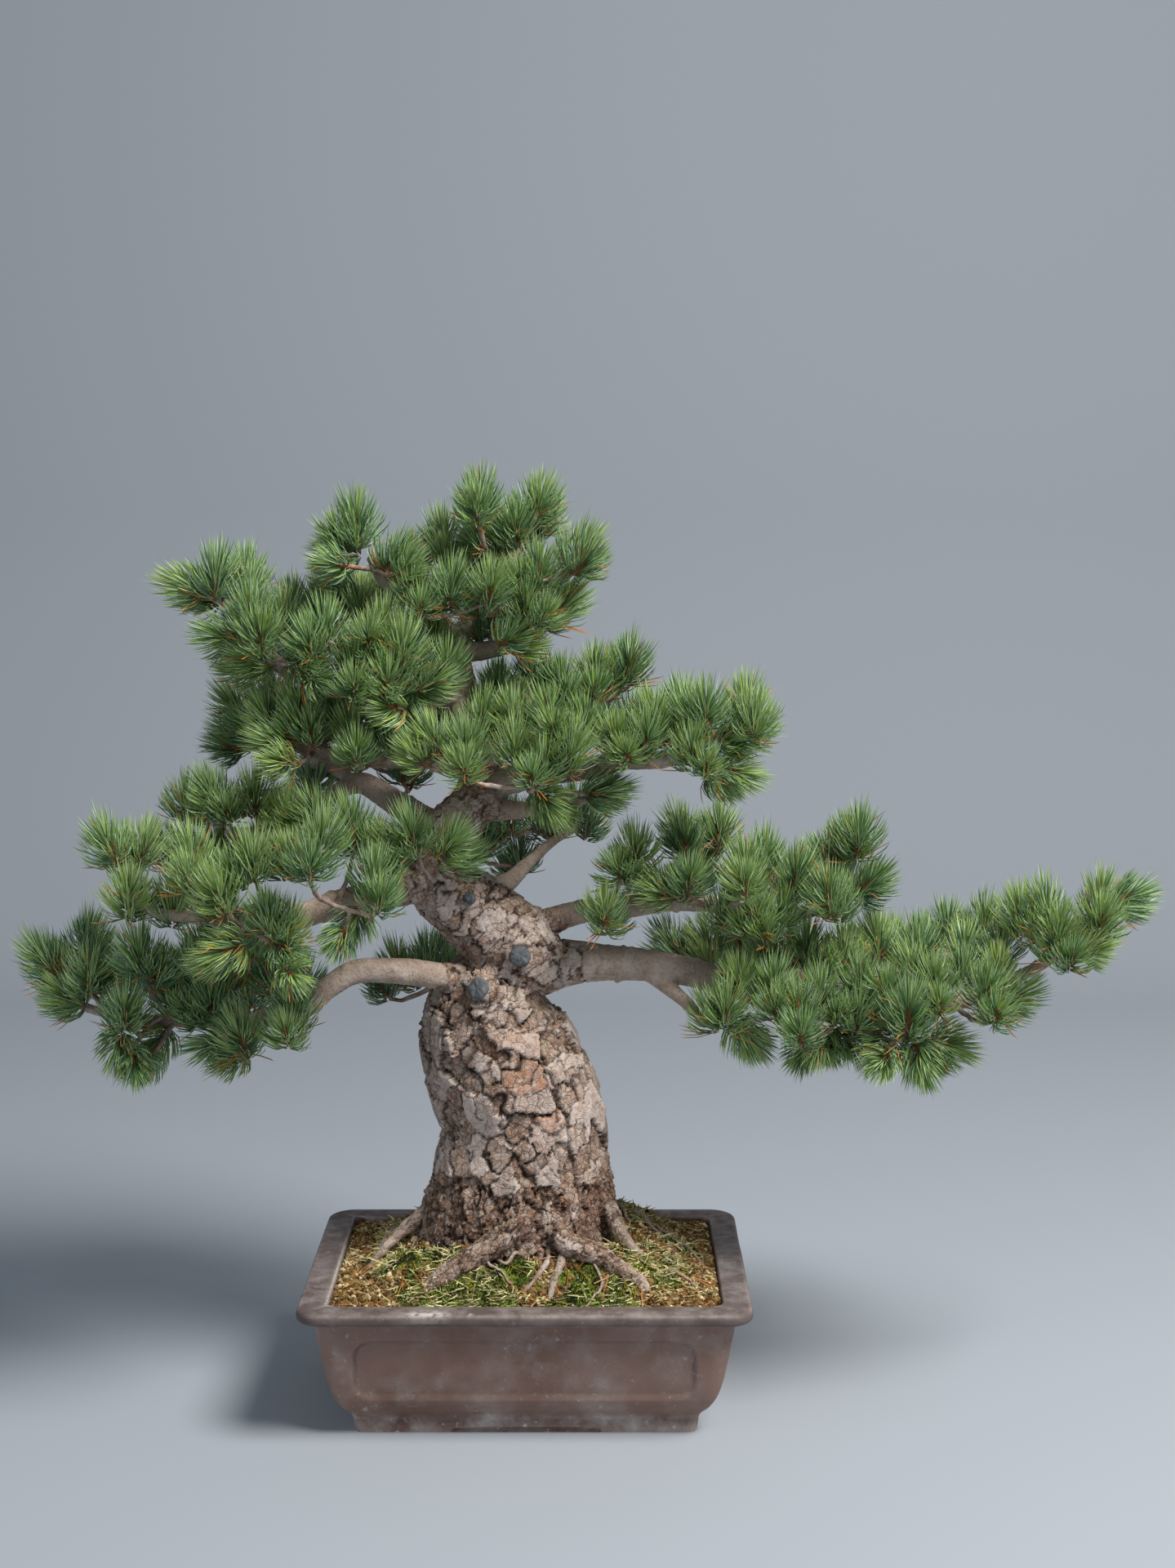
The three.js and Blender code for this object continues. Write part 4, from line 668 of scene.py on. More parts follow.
def rescale(tree, value, low, high, to_low=0.0, to_high=1.0):
    inputs = {"Value": value, "From Min": low, "From Max": high, "To Min": to_low, "To Max": to_high}
    return put(tree, "ShaderNodeMapRange", inputs).outputs[0]


def surface_place(tree):
    return put(tree, "ShaderNodeTexCoord").outputs["Object"]


def noise_at(tree, scale, detail=3.0, place=None, roughness=0.55):
    inputs = {"Vector": place or surface_place(tree), "Scale": scale, "Detail": detail,
              "Roughness": roughness}
    return put(tree, "ShaderNodeTexNoise", inputs).outputs["Fac"]


def spots(tree, scale, detail, low, high, most=1.0, roughness=0.55):
    """A mask of the places where a noise rises from one height to another."""
    return rescale(tree, noise_at(tree, scale, detail, roughness=roughness), low, high, 0.0, most)


def bump(tree, height, depth, strength):
    inputs = {"Height": height, "Distance": depth, "Strength": strength}
    return put(tree, "ShaderNodeBump", inputs).outputs["Normal"]


def new_group(name, inputs, outputs):
    """An empty node group with its input and output nodes. A default of four numbers makes a colour
    of an input, and the name Color one of an output."""
    group = bpy.data.node_groups.new(name, "ShaderNodeTree")
    for label, default in inputs.items():
        kind = "NodeSocketColor" if isinstance(default, tuple) else "NodeSocketFloat"
        socket = group.interface.new_socket(name=label, in_out="INPUT", socket_type=kind)
        socket.default_value = default
    for label in outputs:
        kind = "NodeSocketColor" if label == "Color" else "NodeSocketFloat"
        group.interface.new_socket(name=label, in_out="OUTPUT", socket_type=kind)
    return group, group.nodes.new("NodeGroupInput").outputs, group.nodes.new("NodeGroupOutput").inputs


def mottle_group():
    """Soft patches of three colours at one scale."""
    main, dark, pale = ((grey, grey, grey, 1.0) for grey in (0.5, 0.2, 0.8))
    inputs = {"Scale": 20.0, "Edge": 0.15, "Main": main, "Dark": dark, "Pale": pale}
    group, given, result = new_group("Mottle", inputs, ["Color", "Mask"])
    wide = noise_at(group, given["Scale"], 5.0)
    shifted = put(group, "ShaderNodeVectorMath", {0: surface_place(group), 1: (3.1, 1.7, 0.4)}).outputs[0]
    other = noise_at(group, given["Scale"], 5.0, shifted)
    low = sums(group, "SUBTRACT", 0.5, given["Edge"])
    high = sums(group, "ADD", 0.5, given["Edge"])
    darker = rescale(group, wide, low, high)
    paler = rescale(group, other, sums(group, "ADD", low, 0.06), sums(group, "ADD", high, 0.06))
    colour = blend(group, darker, given["Dark"], given["Main"])
    feed(group, result["Color"], blend(group, paler, colour, given["Pale"]))
    feed(group, result["Mask"], paler)
    return group


def grain_group():
    """Height of a fine grain with a coarser one under it."""
    group, given, result = new_group("Grain", {"Scale": 800.0, "Coarse": 0.4}, ["Height", "Fine"])
    fine = noise_at(group, given["Scale"], 4.0, roughness=0.65)
    coarse = noise_at(group, times(group, given["Scale"], 0.16), 3.0)
    feed(group, result["Height"], sums(group, "ADD", fine, times(group, coarse, given["Coarse"])))
    feed(group, result["Fine"], fine)
    return group


def crust_group():
    """Mask of what settles on surfaces that face up, broken up by noise."""
    group, given, result = new_group("Crust", {"Scale": 60.0, "Amount": 0.5}, ["Mask"])
    normal = put(group, "ShaderNodeNewGeometry").outputs["Normal"]
    upward = put(group, "ShaderNodeSeparateXYZ", {0: normal}).outputs["Z"]
    facing = rescale(group, upward, 0.1, 0.95)
    patches = spots(group, given["Scale"], 6.0, 0.42, 0.7, roughness=0.7)
    feed(group, result["Mask"], times(group, times(group, facing, patches), given["Amount"]))
    return group


def flakes_group():
    """Ragged small flakes: the way from their edges inwards, and a draw of each one's own."""
    group, given, result = new_group("Flakes", {"Scale": 150.0}, ["Edge", "Cell"])
    inputs = {"Vector": surface_place(group), "Scale": given["Scale"], "Detail": 3.0}
    drift = put(group, "ShaderNodeTexNoise", inputs).outputs["Color"]
    reach = {0: drift, "Scale": sums(group, "DIVIDE", 0.9, given["Scale"])}
    shifted = put(group, "ShaderNodeVectorMath", reach, operation="SCALE").outputs[0]
    place = put(group, "ShaderNodeVectorMath", {0: surface_place(group), 1: shifted}).outputs[0]
    inputs = {"Vector": place, "Scale": given["Scale"]}
    edge = put(group, "ShaderNodeTexVoronoi", inputs, feature="DISTANCE_TO_EDGE").outputs["Distance"]
    cell = put(group, "ShaderNodeTexVoronoi", inputs).outputs["Color"]
    feed(group, result["Edge"], edge)
    feed(group, result["Cell"], put(group, "ShaderNodeSeparateColor", {0: cell}).outputs[0])
    return group


GROUP_MAKERS = {"Mottle": mottle_group, "Grain": grain_group, "Crust": crust_group, "Flakes": flakes_group}


def effect(tree, name, inputs):
    """Places one of the shared effects in a material, and returns what it gives."""
    group = bpy.data.node_groups.get(name) or GROUP_MAKERS[name]()
    node = put(tree, "ShaderNodeGroup", node_tree=group)
    for label, value in inputs.items():
        feed(tree, node.inputs[label], value)
    return node.outputs


def mottle(tree, scale, edge, main, dark, pale):
    return effect(tree, "Mottle", {"Scale": scale, "Edge": edge, "Main": main[:], "Dark": dark[:],
                                   "Pale": pale[:]})


def crust(tree, scale, amount):
    return effect(tree, "Crust", {"Scale": scale, "Amount": amount})["Mask"]


def grained(tree, scale, coarse, depth, strength):
    """A bump from the shared grain."""
    return bump(tree, effect(tree, "Grain", {"Scale": scale, "Coarse": coarse})["Height"], depth, strength)


def mixed(first, second, share):
    """A mix of two colours as plain numbers."""
    return tuple(a + (b - a) * share for a, b in zip(first[:], second[:]))


def new_material(name):
    """A material with a Principled shader, its tree and the shader's inputs."""
    material = bpy.data.materials.new(name)
    material.use_nodes = True
    tree = material.node_tree
    shader = tree.nodes["Principled BSDF"]
    return material, tree, shader.inputs


def finish(tree, inputs, colour, roughness, normal=None, specular=0.4):
    feed(tree, inputs["Base Color"], colour)
    feed(tree, inputs["Roughness"], roughness)
    inputs["Specular IOR Level"].default_value = specular
    if normal is not None:
        feed(tree, inputs["Normal"], normal)


def tones(tree):
    """The four numbers kept for each point: three channels and the alpha."""
    attribute = put(tree, "ShaderNodeAttribute", attribute_name="tone")
    channels = put(tree, "ShaderNodeSeparateColor", {0: attribute.outputs["Color"]}).outputs
    return channels[0], channels[1], channels[2], attribute.outputs["Alpha"]


def clay_material(look):
    """Unglazed clay. The tone holds worn edges, mineral bloom, scuffs, and the dark weather-worn lip with
    painted shade in the grooves.
    """
    material, tree, inputs = new_material("unglazed_clay")
    edge, bloom, scuff, lip = tones(tree)
    base = mottle(tree, 9.0, 0.2, look.clay, look.scorched, mixed(look.clay, look.worn, 0.35))
    speckled = blend(tree, spots(tree, 900.0, 2.0, 0.62, 0.72, 0.35), base["Color"], look.worn[:])
    # The lip colour darkens the weather-worn lip and, as painted shade, the grooves.
    lip_and_groove_shade = blend(tree, times(tree, lip, 0.85), speckled, look.lip[:])
    worn = blend(tree, times(tree, edge, spots(tree, 70.0, 5.0, 0.3, 0.75)), lip_and_groove_shade, look.worn[:])
    smear = times(tree, bloom, spots(tree, 160.0, 6.0, 0.33, 0.52, roughness=0.7))
    whitened = blend(tree, sums(tree, "MAXIMUM", smear, crust(tree, 45.0, 0.35)), worn, look.bloom[:])
    haze = times(tree, scuff, spots(tree, 28.0, 6.0, 0.42, 0.7, 0.42, roughness=0.65))
    hazy = blend(tree, haze, whitened, look.bloom[:])
    scuffs = times(tree, scuff, spots(tree, 150.0, 5.0, 0.62, 0.72, 0.6))
    roughness = rescale(tree, noise_at(tree, 35.0, 4.0), 0.3, 0.7, 0.5, 0.72)
    finish(tree, inputs, blend(tree, scuffs, hazy, look.bloom[:]), roughness,
           grained(tree, 1100.0, 1.4, 0.0004, 0.55), 0.35)
    return material


def bark_material(look):
    """Bark of trunk and limbs. The tone holds how open, that is how far from the crack colour of dark inner
    bark and painted shade, how pale, how freshly flaked and how coarse.
    """
    material, tree, inputs = new_material("plated_bark")
    open_unshaded_bark, pale, fresh, coarse = tones(tree)
    patches = mottle(tree, 55.0, 0.16, look.plate, look.ruddy, look.pale)
    large = effect(tree, "Flakes", {"Scale": 120.0})
    small = effect(tree, "Flakes", {"Scale": 300.0})
    own = blend(tree, rescale(tree, pale, 0.05, 0.4), look.ruddy[:], look.plate[:])
    own = blend(tree, rescale(tree, pale, 0.4, 0.78), own, look.pale[:])
    plated = blend(tree, 0.34, own, patches["Color"])
    plated = blend(tree, rescale(tree, large["Cell"], 0.0, 0.6, 0.3, 0.0), plated, look.ruddy[:])
    plated = blend(tree, rescale(tree, small["Cell"], 0.55, 1.0, 0.0, 0.45), plated, look.pale[:])
    flaked = blend(tree, fresh, plated, look.warm[:])
    fibre = noise_at(tree, 330.0, 6.0, roughness=0.65)
    limb = blend(tree, rescale(tree, fibre, 0.3, 0.72), mixed(look.limb, look.ruddy, 0.3), look.limb[:])
    limb = blend(tree, times(tree, patches["Mask"], 0.5), limb, look.pale[:])
    wood = blend(tree, coarse, limb, flaked)
    crusted = times(tree, crust(tree, 130.0, 0.85), rescale(tree, coarse, 0.05, 0.4))
    wood = blend(tree, crusted, wood, look.crust[:])
    rough = times(tree, coarse, rescale(tree, pale, 0.5, 0.75, 1.0, 0.3))
    # Flake seams and cracks take the crack colour, as dark inner bark and as painted shade.
    seams = sums(tree, "MINIMUM", rescale(tree, large["Edge"], 0.0, 0.07, 0.25, 1.0),
                 rescale(tree, small["Edge"], 0.0, 0.1, 0.7, 1.0))
    shut = sums(tree, "SUBTRACT", 1.0, times(tree, rough, sums(tree, "SUBTRACT", 1.0, seams)))
    speckled = blend(tree, rescale(tree, fibre, 0.3, 0.5, 0.3, 0.0), wood, look.crack[:])
    open_unshaded_share = times(tree, rescale(tree, open_unshaded_bark, 0.05, 0.85), rescale(tree, shut, 0.0, 1.0, 0.25, 1.0))
    cracked = blend(tree, open_unshaded_share, look.crack[:], speckled)
    grain = effect(tree, "Grain", {"Scale": 620.0, "Coarse": 1.2})["Height"]
    relief = sums(tree, "ADD", times(tree, shut, 1.4), times(tree, rough, large["Cell"]))
    height = sums(tree, "ADD", sums(tree, "ADD", grain, fibre), relief)
    finish(tree, inputs, cracked, 0.88, bump(tree, height, 0.0014, 0.8), 0.2)
    return material


def needle_material(look):
    """Needles. The tone holds how young the needle is, with painted shade that makes it darker and bluer at
    the back of the tree and low in each tuft, the way along the needle, the needle's own draw and how
    withered it is.
    """
    material, tree, inputs = new_material("pine_needles")
    age_and_shade, along, draw, withered = tones(tree)
    inner = put(tree, "ShaderNodeAttribute", attribute_name="mark").outputs["Fac"]
    green = blend(tree, rescale(tree, age_and_shade, 0.0, 0.5), look.blue[:], look.green[:])
    green = blend(tree, rescale(tree, age_and_shade, 0.5, 1.0), green, look.fresh[:])
    varied = blend(tree, rescale(tree, draw, 0.45, 1.0, 0.0, 0.75), green, look.fresh[:])
    varied = blend(tree, rescale(tree, draw, 0.0, 0.45, 0.85, 0.0), varied, look.blue[:])
    wax = times(tree, inner, rescale(tree, draw, 0.0, 1.0, 0.35, 0.85))
    waxy = blend(tree, wax, varied, look.stripe[:])
    tipped = blend(tree, rescale(tree, along, 0.82, 1.0, 0.0, 0.45), waxy, look.fresh[:])
    shaded = blend(tree, rescale(tree, along, 0.0, 0.5, 0.45, 0.0), tipped, look.blue[:])
    rooted = blend(tree, rescale(tree, along, 0.0, 0.14, 0.75, 0.0), shaded, look.bud[:])
    finish(tree, inputs, blend(tree, withered, rooted, look.dead[:]),
           rescale(tree, noise_at(tree, 500.0, 2.0), 0.3, 0.7, 0.4, 0.58), None, 0.45)
    return material


def twig_material(bark, look):
    """Young wood and bud scales. The tone's first number runs from old wood to the bud."""
    material, tree, inputs = new_material("young_wood")
    youth, scale, _, _ = tones(tree)
    patches = mottle(tree, 120.0, 0.18, bark.limb, bark.ruddy, bark.pale)
    budded = blend(tree, youth, patches["Color"], look.bud[:])
    shaded = blend(tree, rescale(tree, scale, 0.0, 1.0, 0.55, 0.0), budded, bark.crack[:])
    finish(tree, inputs, shaded, 0.85, grained(tree, 1500.0, 0.9, 0.0006, 0.7), 0.25)
    return material


def soil_material(look):
    """The bed under the loose grit. The tone's second number is the moss."""
    material, tree, inputs = new_material("akadama_bed")
    moss = tones(tree)[1]
    base = mottle(tree, 160.0, 0.12, look.grit, look.dark_grit, look.pale_grit)
    shaded = blend(tree, 0.45, base["Color"], look.dark_grit[:])
    green = mottle(tree, 70.0, 0.15, look.moss, look.deep_moss, look.moss)
    finish(tree, inputs, blend(tree, moss, shaded, green["Color"]), 0.95,
           grained(tree, 420.0, 1.0, 0.0015, 0.8), 0.15)
    return material


def grit_material(look):
    """Loose grains. The tone's first two numbers are how pale and how dark they are."""
    material, tree, inputs = new_material("loose_grit")
    pale, dark, _, _ = tones(tree)
    grain = effect(tree, "Grain", {"Scale": 1400.0, "Coarse": 0.8})
    fine = blend(tree, rescale(tree, grain["Fine"], 0.35, 0.65), mixed(look.grit, look.dark_grit, 0.5),
                 look.grit[:])
    light = blend(tree, pale, fine, look.pale_grit[:])
    finish(tree, inputs, blend(tree, dark, light, look.dark_grit[:]), 0.93,
           bump(tree, grain["Height"], 0.0005, 0.7), 0.15)
    return material


def moss_material(look):
    """Moss and dry strands. The tone holds the height on a shoot, lowered as painted shade in hollows and
    deep cushions, and how dry it is.
    """
    material, tree, inputs = new_material("moss_shoots")
    height, dry, _, _ = tones(tree)
    patches = mottle(tree, 48.0, 0.07, look.moss, look.deep_moss, mixed(look.moss, look.straw, 0.3))
    lit = blend(tree, rescale(tree, height, 0.1, 1.0), look.deep_moss[:], patches["Color"])
    finish(tree, inputs, blend(tree, dry, lit, look.straw[:]), 0.85, None, 0.2)
    return material


def paste_material(look):
    material, tree, inputs = new_material("wound_paste")
    base = mottle(tree, 140.0, 0.2, look.paste, tuple(part * 0.4 for part in look.paste),
                  tuple(min(1.0, part * 1.5) for part in look.paste))
    finish(tree, inputs, base["Color"], 0.62, grained(tree, 700.0, 1.2, 0.0008, 0.8), 0.35)
    return material


def mesh_material(look):
    material, tree, inputs = new_material("drain_mesh_plastic")
    grain = effect(tree, "Grain", {"Scale": 900.0, "Coarse": 0.5})
    colour = blend(tree, grain["Fine"], look.mesh[:], tuple(part * 1.6 for part in look.mesh))
    finish(tree, inputs, colour, 0.55, bump(tree, grain["Height"], 0.0002, 0.5), 0.4)
    return material


# ---- pot ----


def rounded_ring(inset, height, step):
    """Points round the pot at one height, with the same number of them on every ring."""
    corner_steps = max(3, int(round(LIP_CORNER * math.pi / 2 / step)))
    side_steps = {True: int(POT_LENGTH / step), False: int(POT_DEPTH / step)}
    radius = LIP_CORNER - CORNER_SHRINK * inset
    half_x = POT_LENGTH / 2 - inset - radius
    half_y = POT_DEPTH / 2 - inset - radius
    ring = []
    for corner in range(4):
        middle_x = half_x if corner in (0, 3) else -half_x
        middle_y = half_y if corner < 2 else -half_y
        angles = (corner + np.arange(corner_steps + 1) / corner_steps) * (math.pi / 2)
        arc = np.column_stack([middle_x + radius * np.cos(angles), middle_y + radius * np.sin(angles)])
        along_x = corner in (0, 2)
        span = 2 * half_x if along_x else 2 * half_y
        way = np.array([[-1, 0], [0, -1], [1, 0], [0, 1]][corner])
        shares = np.arange(1, side_steps[along_x]) / side_steps[along_x]
        ring += [arc, arc[-1] + span * shares[:, None] * way]
    flat = np.vstack(ring)
    return np.column_stack([flat, np.full(len(flat), height)])


def rounded_block(profile, step):
    """Points and triangles of a body whose level sections are rounded rectangles."""
    return closed_rings(np.array([rounded_ring(inset, height, step) for inset, height in profile]))


def panel_edge(along, height, half):
    """How far outside the outline of the recessed panel a point of a wall lies."""
    out_x = np.abs(along) - (half - PANEL_CORNER)
    out_z = np.abs(height - (PANEL_LOW + PANEL_HIGH) / 2) - ((PANEL_HIGH - PANEL_LOW) / 2 - PANEL_CORNER)
    round_it = np.hypot(np.maximum(out_x, 0), np.maximum(out_z, 0))
    return round_it + np.minimum(np.maximum(out_x, out_z), 0) - PANEL_CORNER


def panel_edges(points):
    """The same for all points of the four walls, with a large distance for the other points."""
    x, y, z = points.T
    wall = np.interp(z, [row[1] for row in POT_OUTSIDE], [row[0] for row in POT_OUTSIDE])
    apart_x = np.abs(POT_LENGTH / 2 - np.abs(x) - wall)
    apart_y = np.abs(POT_DEPTH / 2 - np.abs(y) - wall)
    front = apart_y < PANEL_DEPTH + 1
    side = ~front & (apart_x < PANEL_DEPTH + 1)
    edge = np.where(front, panel_edge(x, z, PANEL_FRONT), 99.0)
    return np.where(side, panel_edge(y, z, PANEL_SIDE), edge), front, side


def arch_outline(half):
    """Outline of the gap between two feet, with its small scallops."""
    height = ARCH_HEIGHT
    foot = [[-half, -2], [-half, 0], [-half + 1, height - 1.8], [-half + 4, height - 1.2],
            [-half + 8, height - 1], [-half + 11, height - 1.6], [-half + 15, height]]
    mirrored = [[-x, z] for x, z in reversed(foot)]
    return cut_corners(foot + mirrored, 1)


def prism(outline, along_x):
    """The outline, in x and z, drawn out through the whole pot along y, or turned, along x."""
    reach = POT_LENGTH / 2 + 10
    x, z = outline.T
    rings = np.array([np.column_stack([x, np.full(len(x), y), z]) for y in (reach, -reach)])
    if along_x:
        rings = np.stack([-rings[..., 1], rings[..., 0], rings[..., 2]], axis=-1)
    return closed_rings(rings)


def cylinder(radius, height, x, sides=48):
    angles = 2 * math.pi * np.arange(sides) / sides
    ring = np.column_stack([x + radius * np.cos(angles), radius * np.sin(angles)])
    return closed_rings(np.array([np.column_stack([ring, np.full(sides, z)]) for z in (-1, height)]))


def carve(piece, operation, points, triangles):
    """Cuts a closed body out of a piece, or keeps what the piece has in common with it."""
    tool = show(mesh_of("cutter", to_frame(points), triangles), [])
    modifier = piece.modifiers.new("cut", "BOOLEAN")
    modifier.operation = operation
    modifier.solver = "MANIFOLD"
    modifier.object = tool
    before = len(piece.data.polygons)
    apply_modifiers(piece)
    bpy.data.objects.remove(tool)
    if len(piece.data.polygons) in (0, before):
        raise RuntimeError(f"a cut left {piece.name} empty or as it was")


def recess_panels(points):
    """Moves the points of the walls' panels inwards."""
    edge, front, side = panel_edges(points)
    depth = PANEL_DEPTH * (1 - smooth_step(-2.6, 1.4, edge))
    points[front, 1] -= np.sign(points[front, 1]) * depth[front]
    points[side, 0] -= np.sign(points[side, 0]) * depth[side]
    return points


def clay_unevenness(points):
    """A hand's breadth of slow waves in the clay, under half a millimetre."""
    lift = clouds(points, 0.018, 1.0, 3)
    outward = unit(points * [1, 1, 0])
    return points + outward * (0.35 * lift * smooth_step(4, 14, points[:, 2]))[:, None]


def pot_tones(points):
    """Worn edges, the mineral smear on the front of the lip, scuffs, and the dark lip with painted shade
    along the panels' outlines and in the groove above the feet.
    """
    x, y, z = points.T
    inset = np.minimum(POT_LENGTH / 2 - np.abs(x), POT_DEPTH / 2 - np.abs(y))
    rim = hump(z, 124, 2.2) * (hump(inset, 1.5, 2.0) + hump(inset, LIP_WIDTH - 1.5, 2.0))
    low_edge = hump(z, 113.5, 1.6) * (inset < 6)
    feet = 0.6 * hump(z, 0, 5.0) * (inset < FOOT_INSET + 8)
    smear = 1.3 * np.exp(-((x + 84) / 19) ** 4) * hump(y, -145, 3.6)
    smear += hump(x, -47, 2.2) * hump(y, -146, 2.2)
    smear += 0.8 * hump(inset, LIP_WIDTH - 0.6, 1.0) * smooth_step(-120, -165, x)
    smear = np.clip(smear * (z > 118), 0, 1)
    scuff = np.clip(0.45 + 0.9 * clouds(points, 0.02, 0.8, 3), 0, 1) * (z < 110) + 0.3 * (z > 110)
    scuff += 1.2 * smooth_step(20, 14, z) + hump(x, -162, 9) * hump(z, 72, 22) * (y < -90)
    # Painted shade along the panels' outlines and in the groove above the feet.
    groove_shade = 0.8 * hump(panel_edges(points)[0], -1.2, 1.5) * smooth_step(44, 62, z)
    groove_shade += 0.5 * hump(z, 11, 1.3) * (inset < FOOT_INSET + 4)
    lip = np.maximum(smooth_step(110.5, 112.5, z) * (inset < LIP_WIDTH + 2), groove_shade)
    return np.column_stack([np.clip(0.7 * rim + low_edge + feet, 0, 1), smear, scuff, lip])


class BONSAI_OT_pot(Operator):
    """Makes the pot: one thick-walled body of clay with a lip, recessed panels, feet and drain holes"""
    bl_idname = "bonsai.pot"
    bl_label = "Pot"

    def execute(self, context):
        look = context.scene.bonsai.pot
        step = look.fineness / MM
        wall_end = POT_OUTSIDE.index([13, 112])
        wall = resample(spline(POT_OUTSIDE[2:wall_end + 1], 6)[:, :2], step)[:-1]
        lip = round_corners(POT_OUTSIDE[wall_end - 1:] + POT_INSIDE[:4], 3)[1:]
        inside = resample(POT_INSIDE[3:], step * 5)[1:]
        profile = np.vstack([POT_OUTSIDE[:2], wall, lip, inside])
        points, triangles = rounded_block(profile, step)
        points = clay_unevenness(recess_panels(points))
        piece = show(mesh_of("clay_pot", to_frame(points), triangles), [])
        underside = FOOT_INSET + BAND_WIDTH
        cutters = [rounded_block([[underside, -1], [underside + 1, FLOOR_UNDERSIDE]], 12),
                   prism(arch_outline(ARCH_FRONT), False), prism(arch_outline(ARCH_SIDE), True),
                   cylinder(DRAIN_RADIUS, FLOOR_TOP * 2, -DRAIN_PLACE),
                   cylinder(DRAIN_RADIUS, FLOOR_TOP * 2, DRAIN_PLACE)]
        for cutter in cutters:
            carve(piece, "DIFFERENCE", *cutter)
        mesh = piece.data
        add_tones(mesh, pot_tones(from_frame(points_of(mesh))))
        mesh.materials.append(clay_material(look))
        mesh.shade_smooth()
        mesh.set_sharp_from_angle(angle=math.radians(50))
        settle(piece, "clay", "pot")
        return {"FINISHED"}


# ---- soil and what lies on it ----

# Moss cushions in front of the trunk and round the roots: x, y, radius and thickness.
MOSS = [
    [-118, -64, 26, 4], [-92, -70, 24, 5], [-62, -112, 30, 5], [-30, -104, 26, 6], [-2, -92, 20, 4],
    [52, -104, 26, 6], [86, -110, 22, 4], [70, -74, 22, 5], [100, -72, 18, 4], [128, -84, 20, 4],
    [-100, -104, 22, 3], [112, -28, 18, 3], [24, -116, 16, 3], [-60, -78, 20, 5], [132, -40, 22, 3],
    [-118, 30, 30, 4], [96, 62, 34, 4], [10, 100, 40, 4], [-70, 84, 26, 4], [138, 20, 24, 3],
    [-140, -10, 18, 3],
]


BED_STEP = 2.6
BED_UNDERSIDE = 60
LUMP_HEIGHT = 2.6


def soil_height(x, y):
    """The soil's plain mound."""
    to_end = (OPENING[0] - np.abs(x)) / SOIL_SLOPE_X
    to_side = (OPENING[1] - np.abs(y)) / SOIL_SLOPE_Y
    return SOIL_EDGE + SOIL_RISE * smooth_step(0, 1, to_end) * smooth_step(0, 1, to_side)


# Deep green cushions between the roots, where moss is drawn darker as painted shade: x, y and radius.
DEEP_MOSS = [[-14, -92, 20], [52, -98, 24], [-88, -50, 17], [-38, -76, 14], [84, -60, 14], [-104, -72, 14]]


def cushion_shade(x, y):
    """How far each place lies in one of the deep green cushions, where the moss is drawn darker as painted
    shade.
    """
    share = np.zeros(np.shape(x))
    for middle_x, middle_y, radius in DEEP_MOSS:
        share = np.maximum(share, smooth_step(1.1, 0.6, np.hypot(x - middle_x, y - middle_y) / radius))
    return share


def moss_thickness(x, y):
    """Thickness of the moss, with ragged edges."""
    ragged = np.array([noise.noise(Vector((a, b, 7.0)) * 0.09) for a, b in zip(np.ravel(x), np.ravel(y))])
    ragged = ragged.reshape(np.shape(x))
    thickness = np.zeros(np.shape(x))
    for middle_x, middle_y, radius, rise in MOSS:
        away = np.hypot(x - middle_x, y - middle_y) / radius + 0.55 * ragged
        thickness = np.maximum(thickness, rise * (1 - smooth_step(0.35, 1.0, away)))
    return thickness


def lumps_at(x, y):
    """Hollows below nought and lumps above it."""
    flat = np.column_stack([np.ravel(x), np.ravel(y), np.zeros(np.size(x))])
    return clouds(flat, 0.07, 0.9, 4).reshape(np.shape(x))


def bed_height(x, y):
    """The soil's surface with its hollows and its moss."""
    calm = smooth_step(0, 14, np.minimum(OPENING[0] - np.abs(x), OPENING[1] - np.abs(y)))
    return soil_height(x, y) + (LUMP_HEIGHT * lumps_at(x, y) + moss_thickness(x, y)) * calm


def soil_body(step):
    """A closed block with the soil's surface on top, cut to the inside of the pot."""
    columns = int(POT_LENGTH / step)
    rows = int(POT_DEPTH / step)
    x, y = np.meshgrid(np.linspace(-POT_LENGTH / 2, POT_LENGTH / 2, columns),
                       np.linspace(-POT_DEPTH / 2, POT_DEPTH / 2, rows), indexing="ij")
    top = np.column_stack([x.ravel(), y.ravel(), bed_height(x, y).ravel()])
    base = np.column_stack([x.ravel(), y.ravel(), np.full(x.size, BED_UNDERSIDE)])
    i, j = np.meshgrid(np.arange(columns - 1), np.arange(rows - 1), indexing="ij")
    a = (i * rows + j).ravel()
    cells = np.vstack([np.column_stack([a, a + rows, a + rows + 1]),
                       np.column_stack([a, a + rows + 1, a + 1])])
    rim = np.concatenate([np.arange(columns) * rows, (columns - 1) * rows + np.arange(1, rows),
                          np.arange(columns - 2, -1, -1) * rows + rows - 1, np.arange(rows - 2, 0, -1)])
    onward = np.roll(rim, -1)
    skirt = np.vstack([np.column_stack([rim, rim + x.size, onward + x.size]),
                       np.column_stack([rim, onward + x.size, onward])])
    return np.vstack([top, base]), np.vstack([cells, cells[:, ::-1] + x.size, skirt])


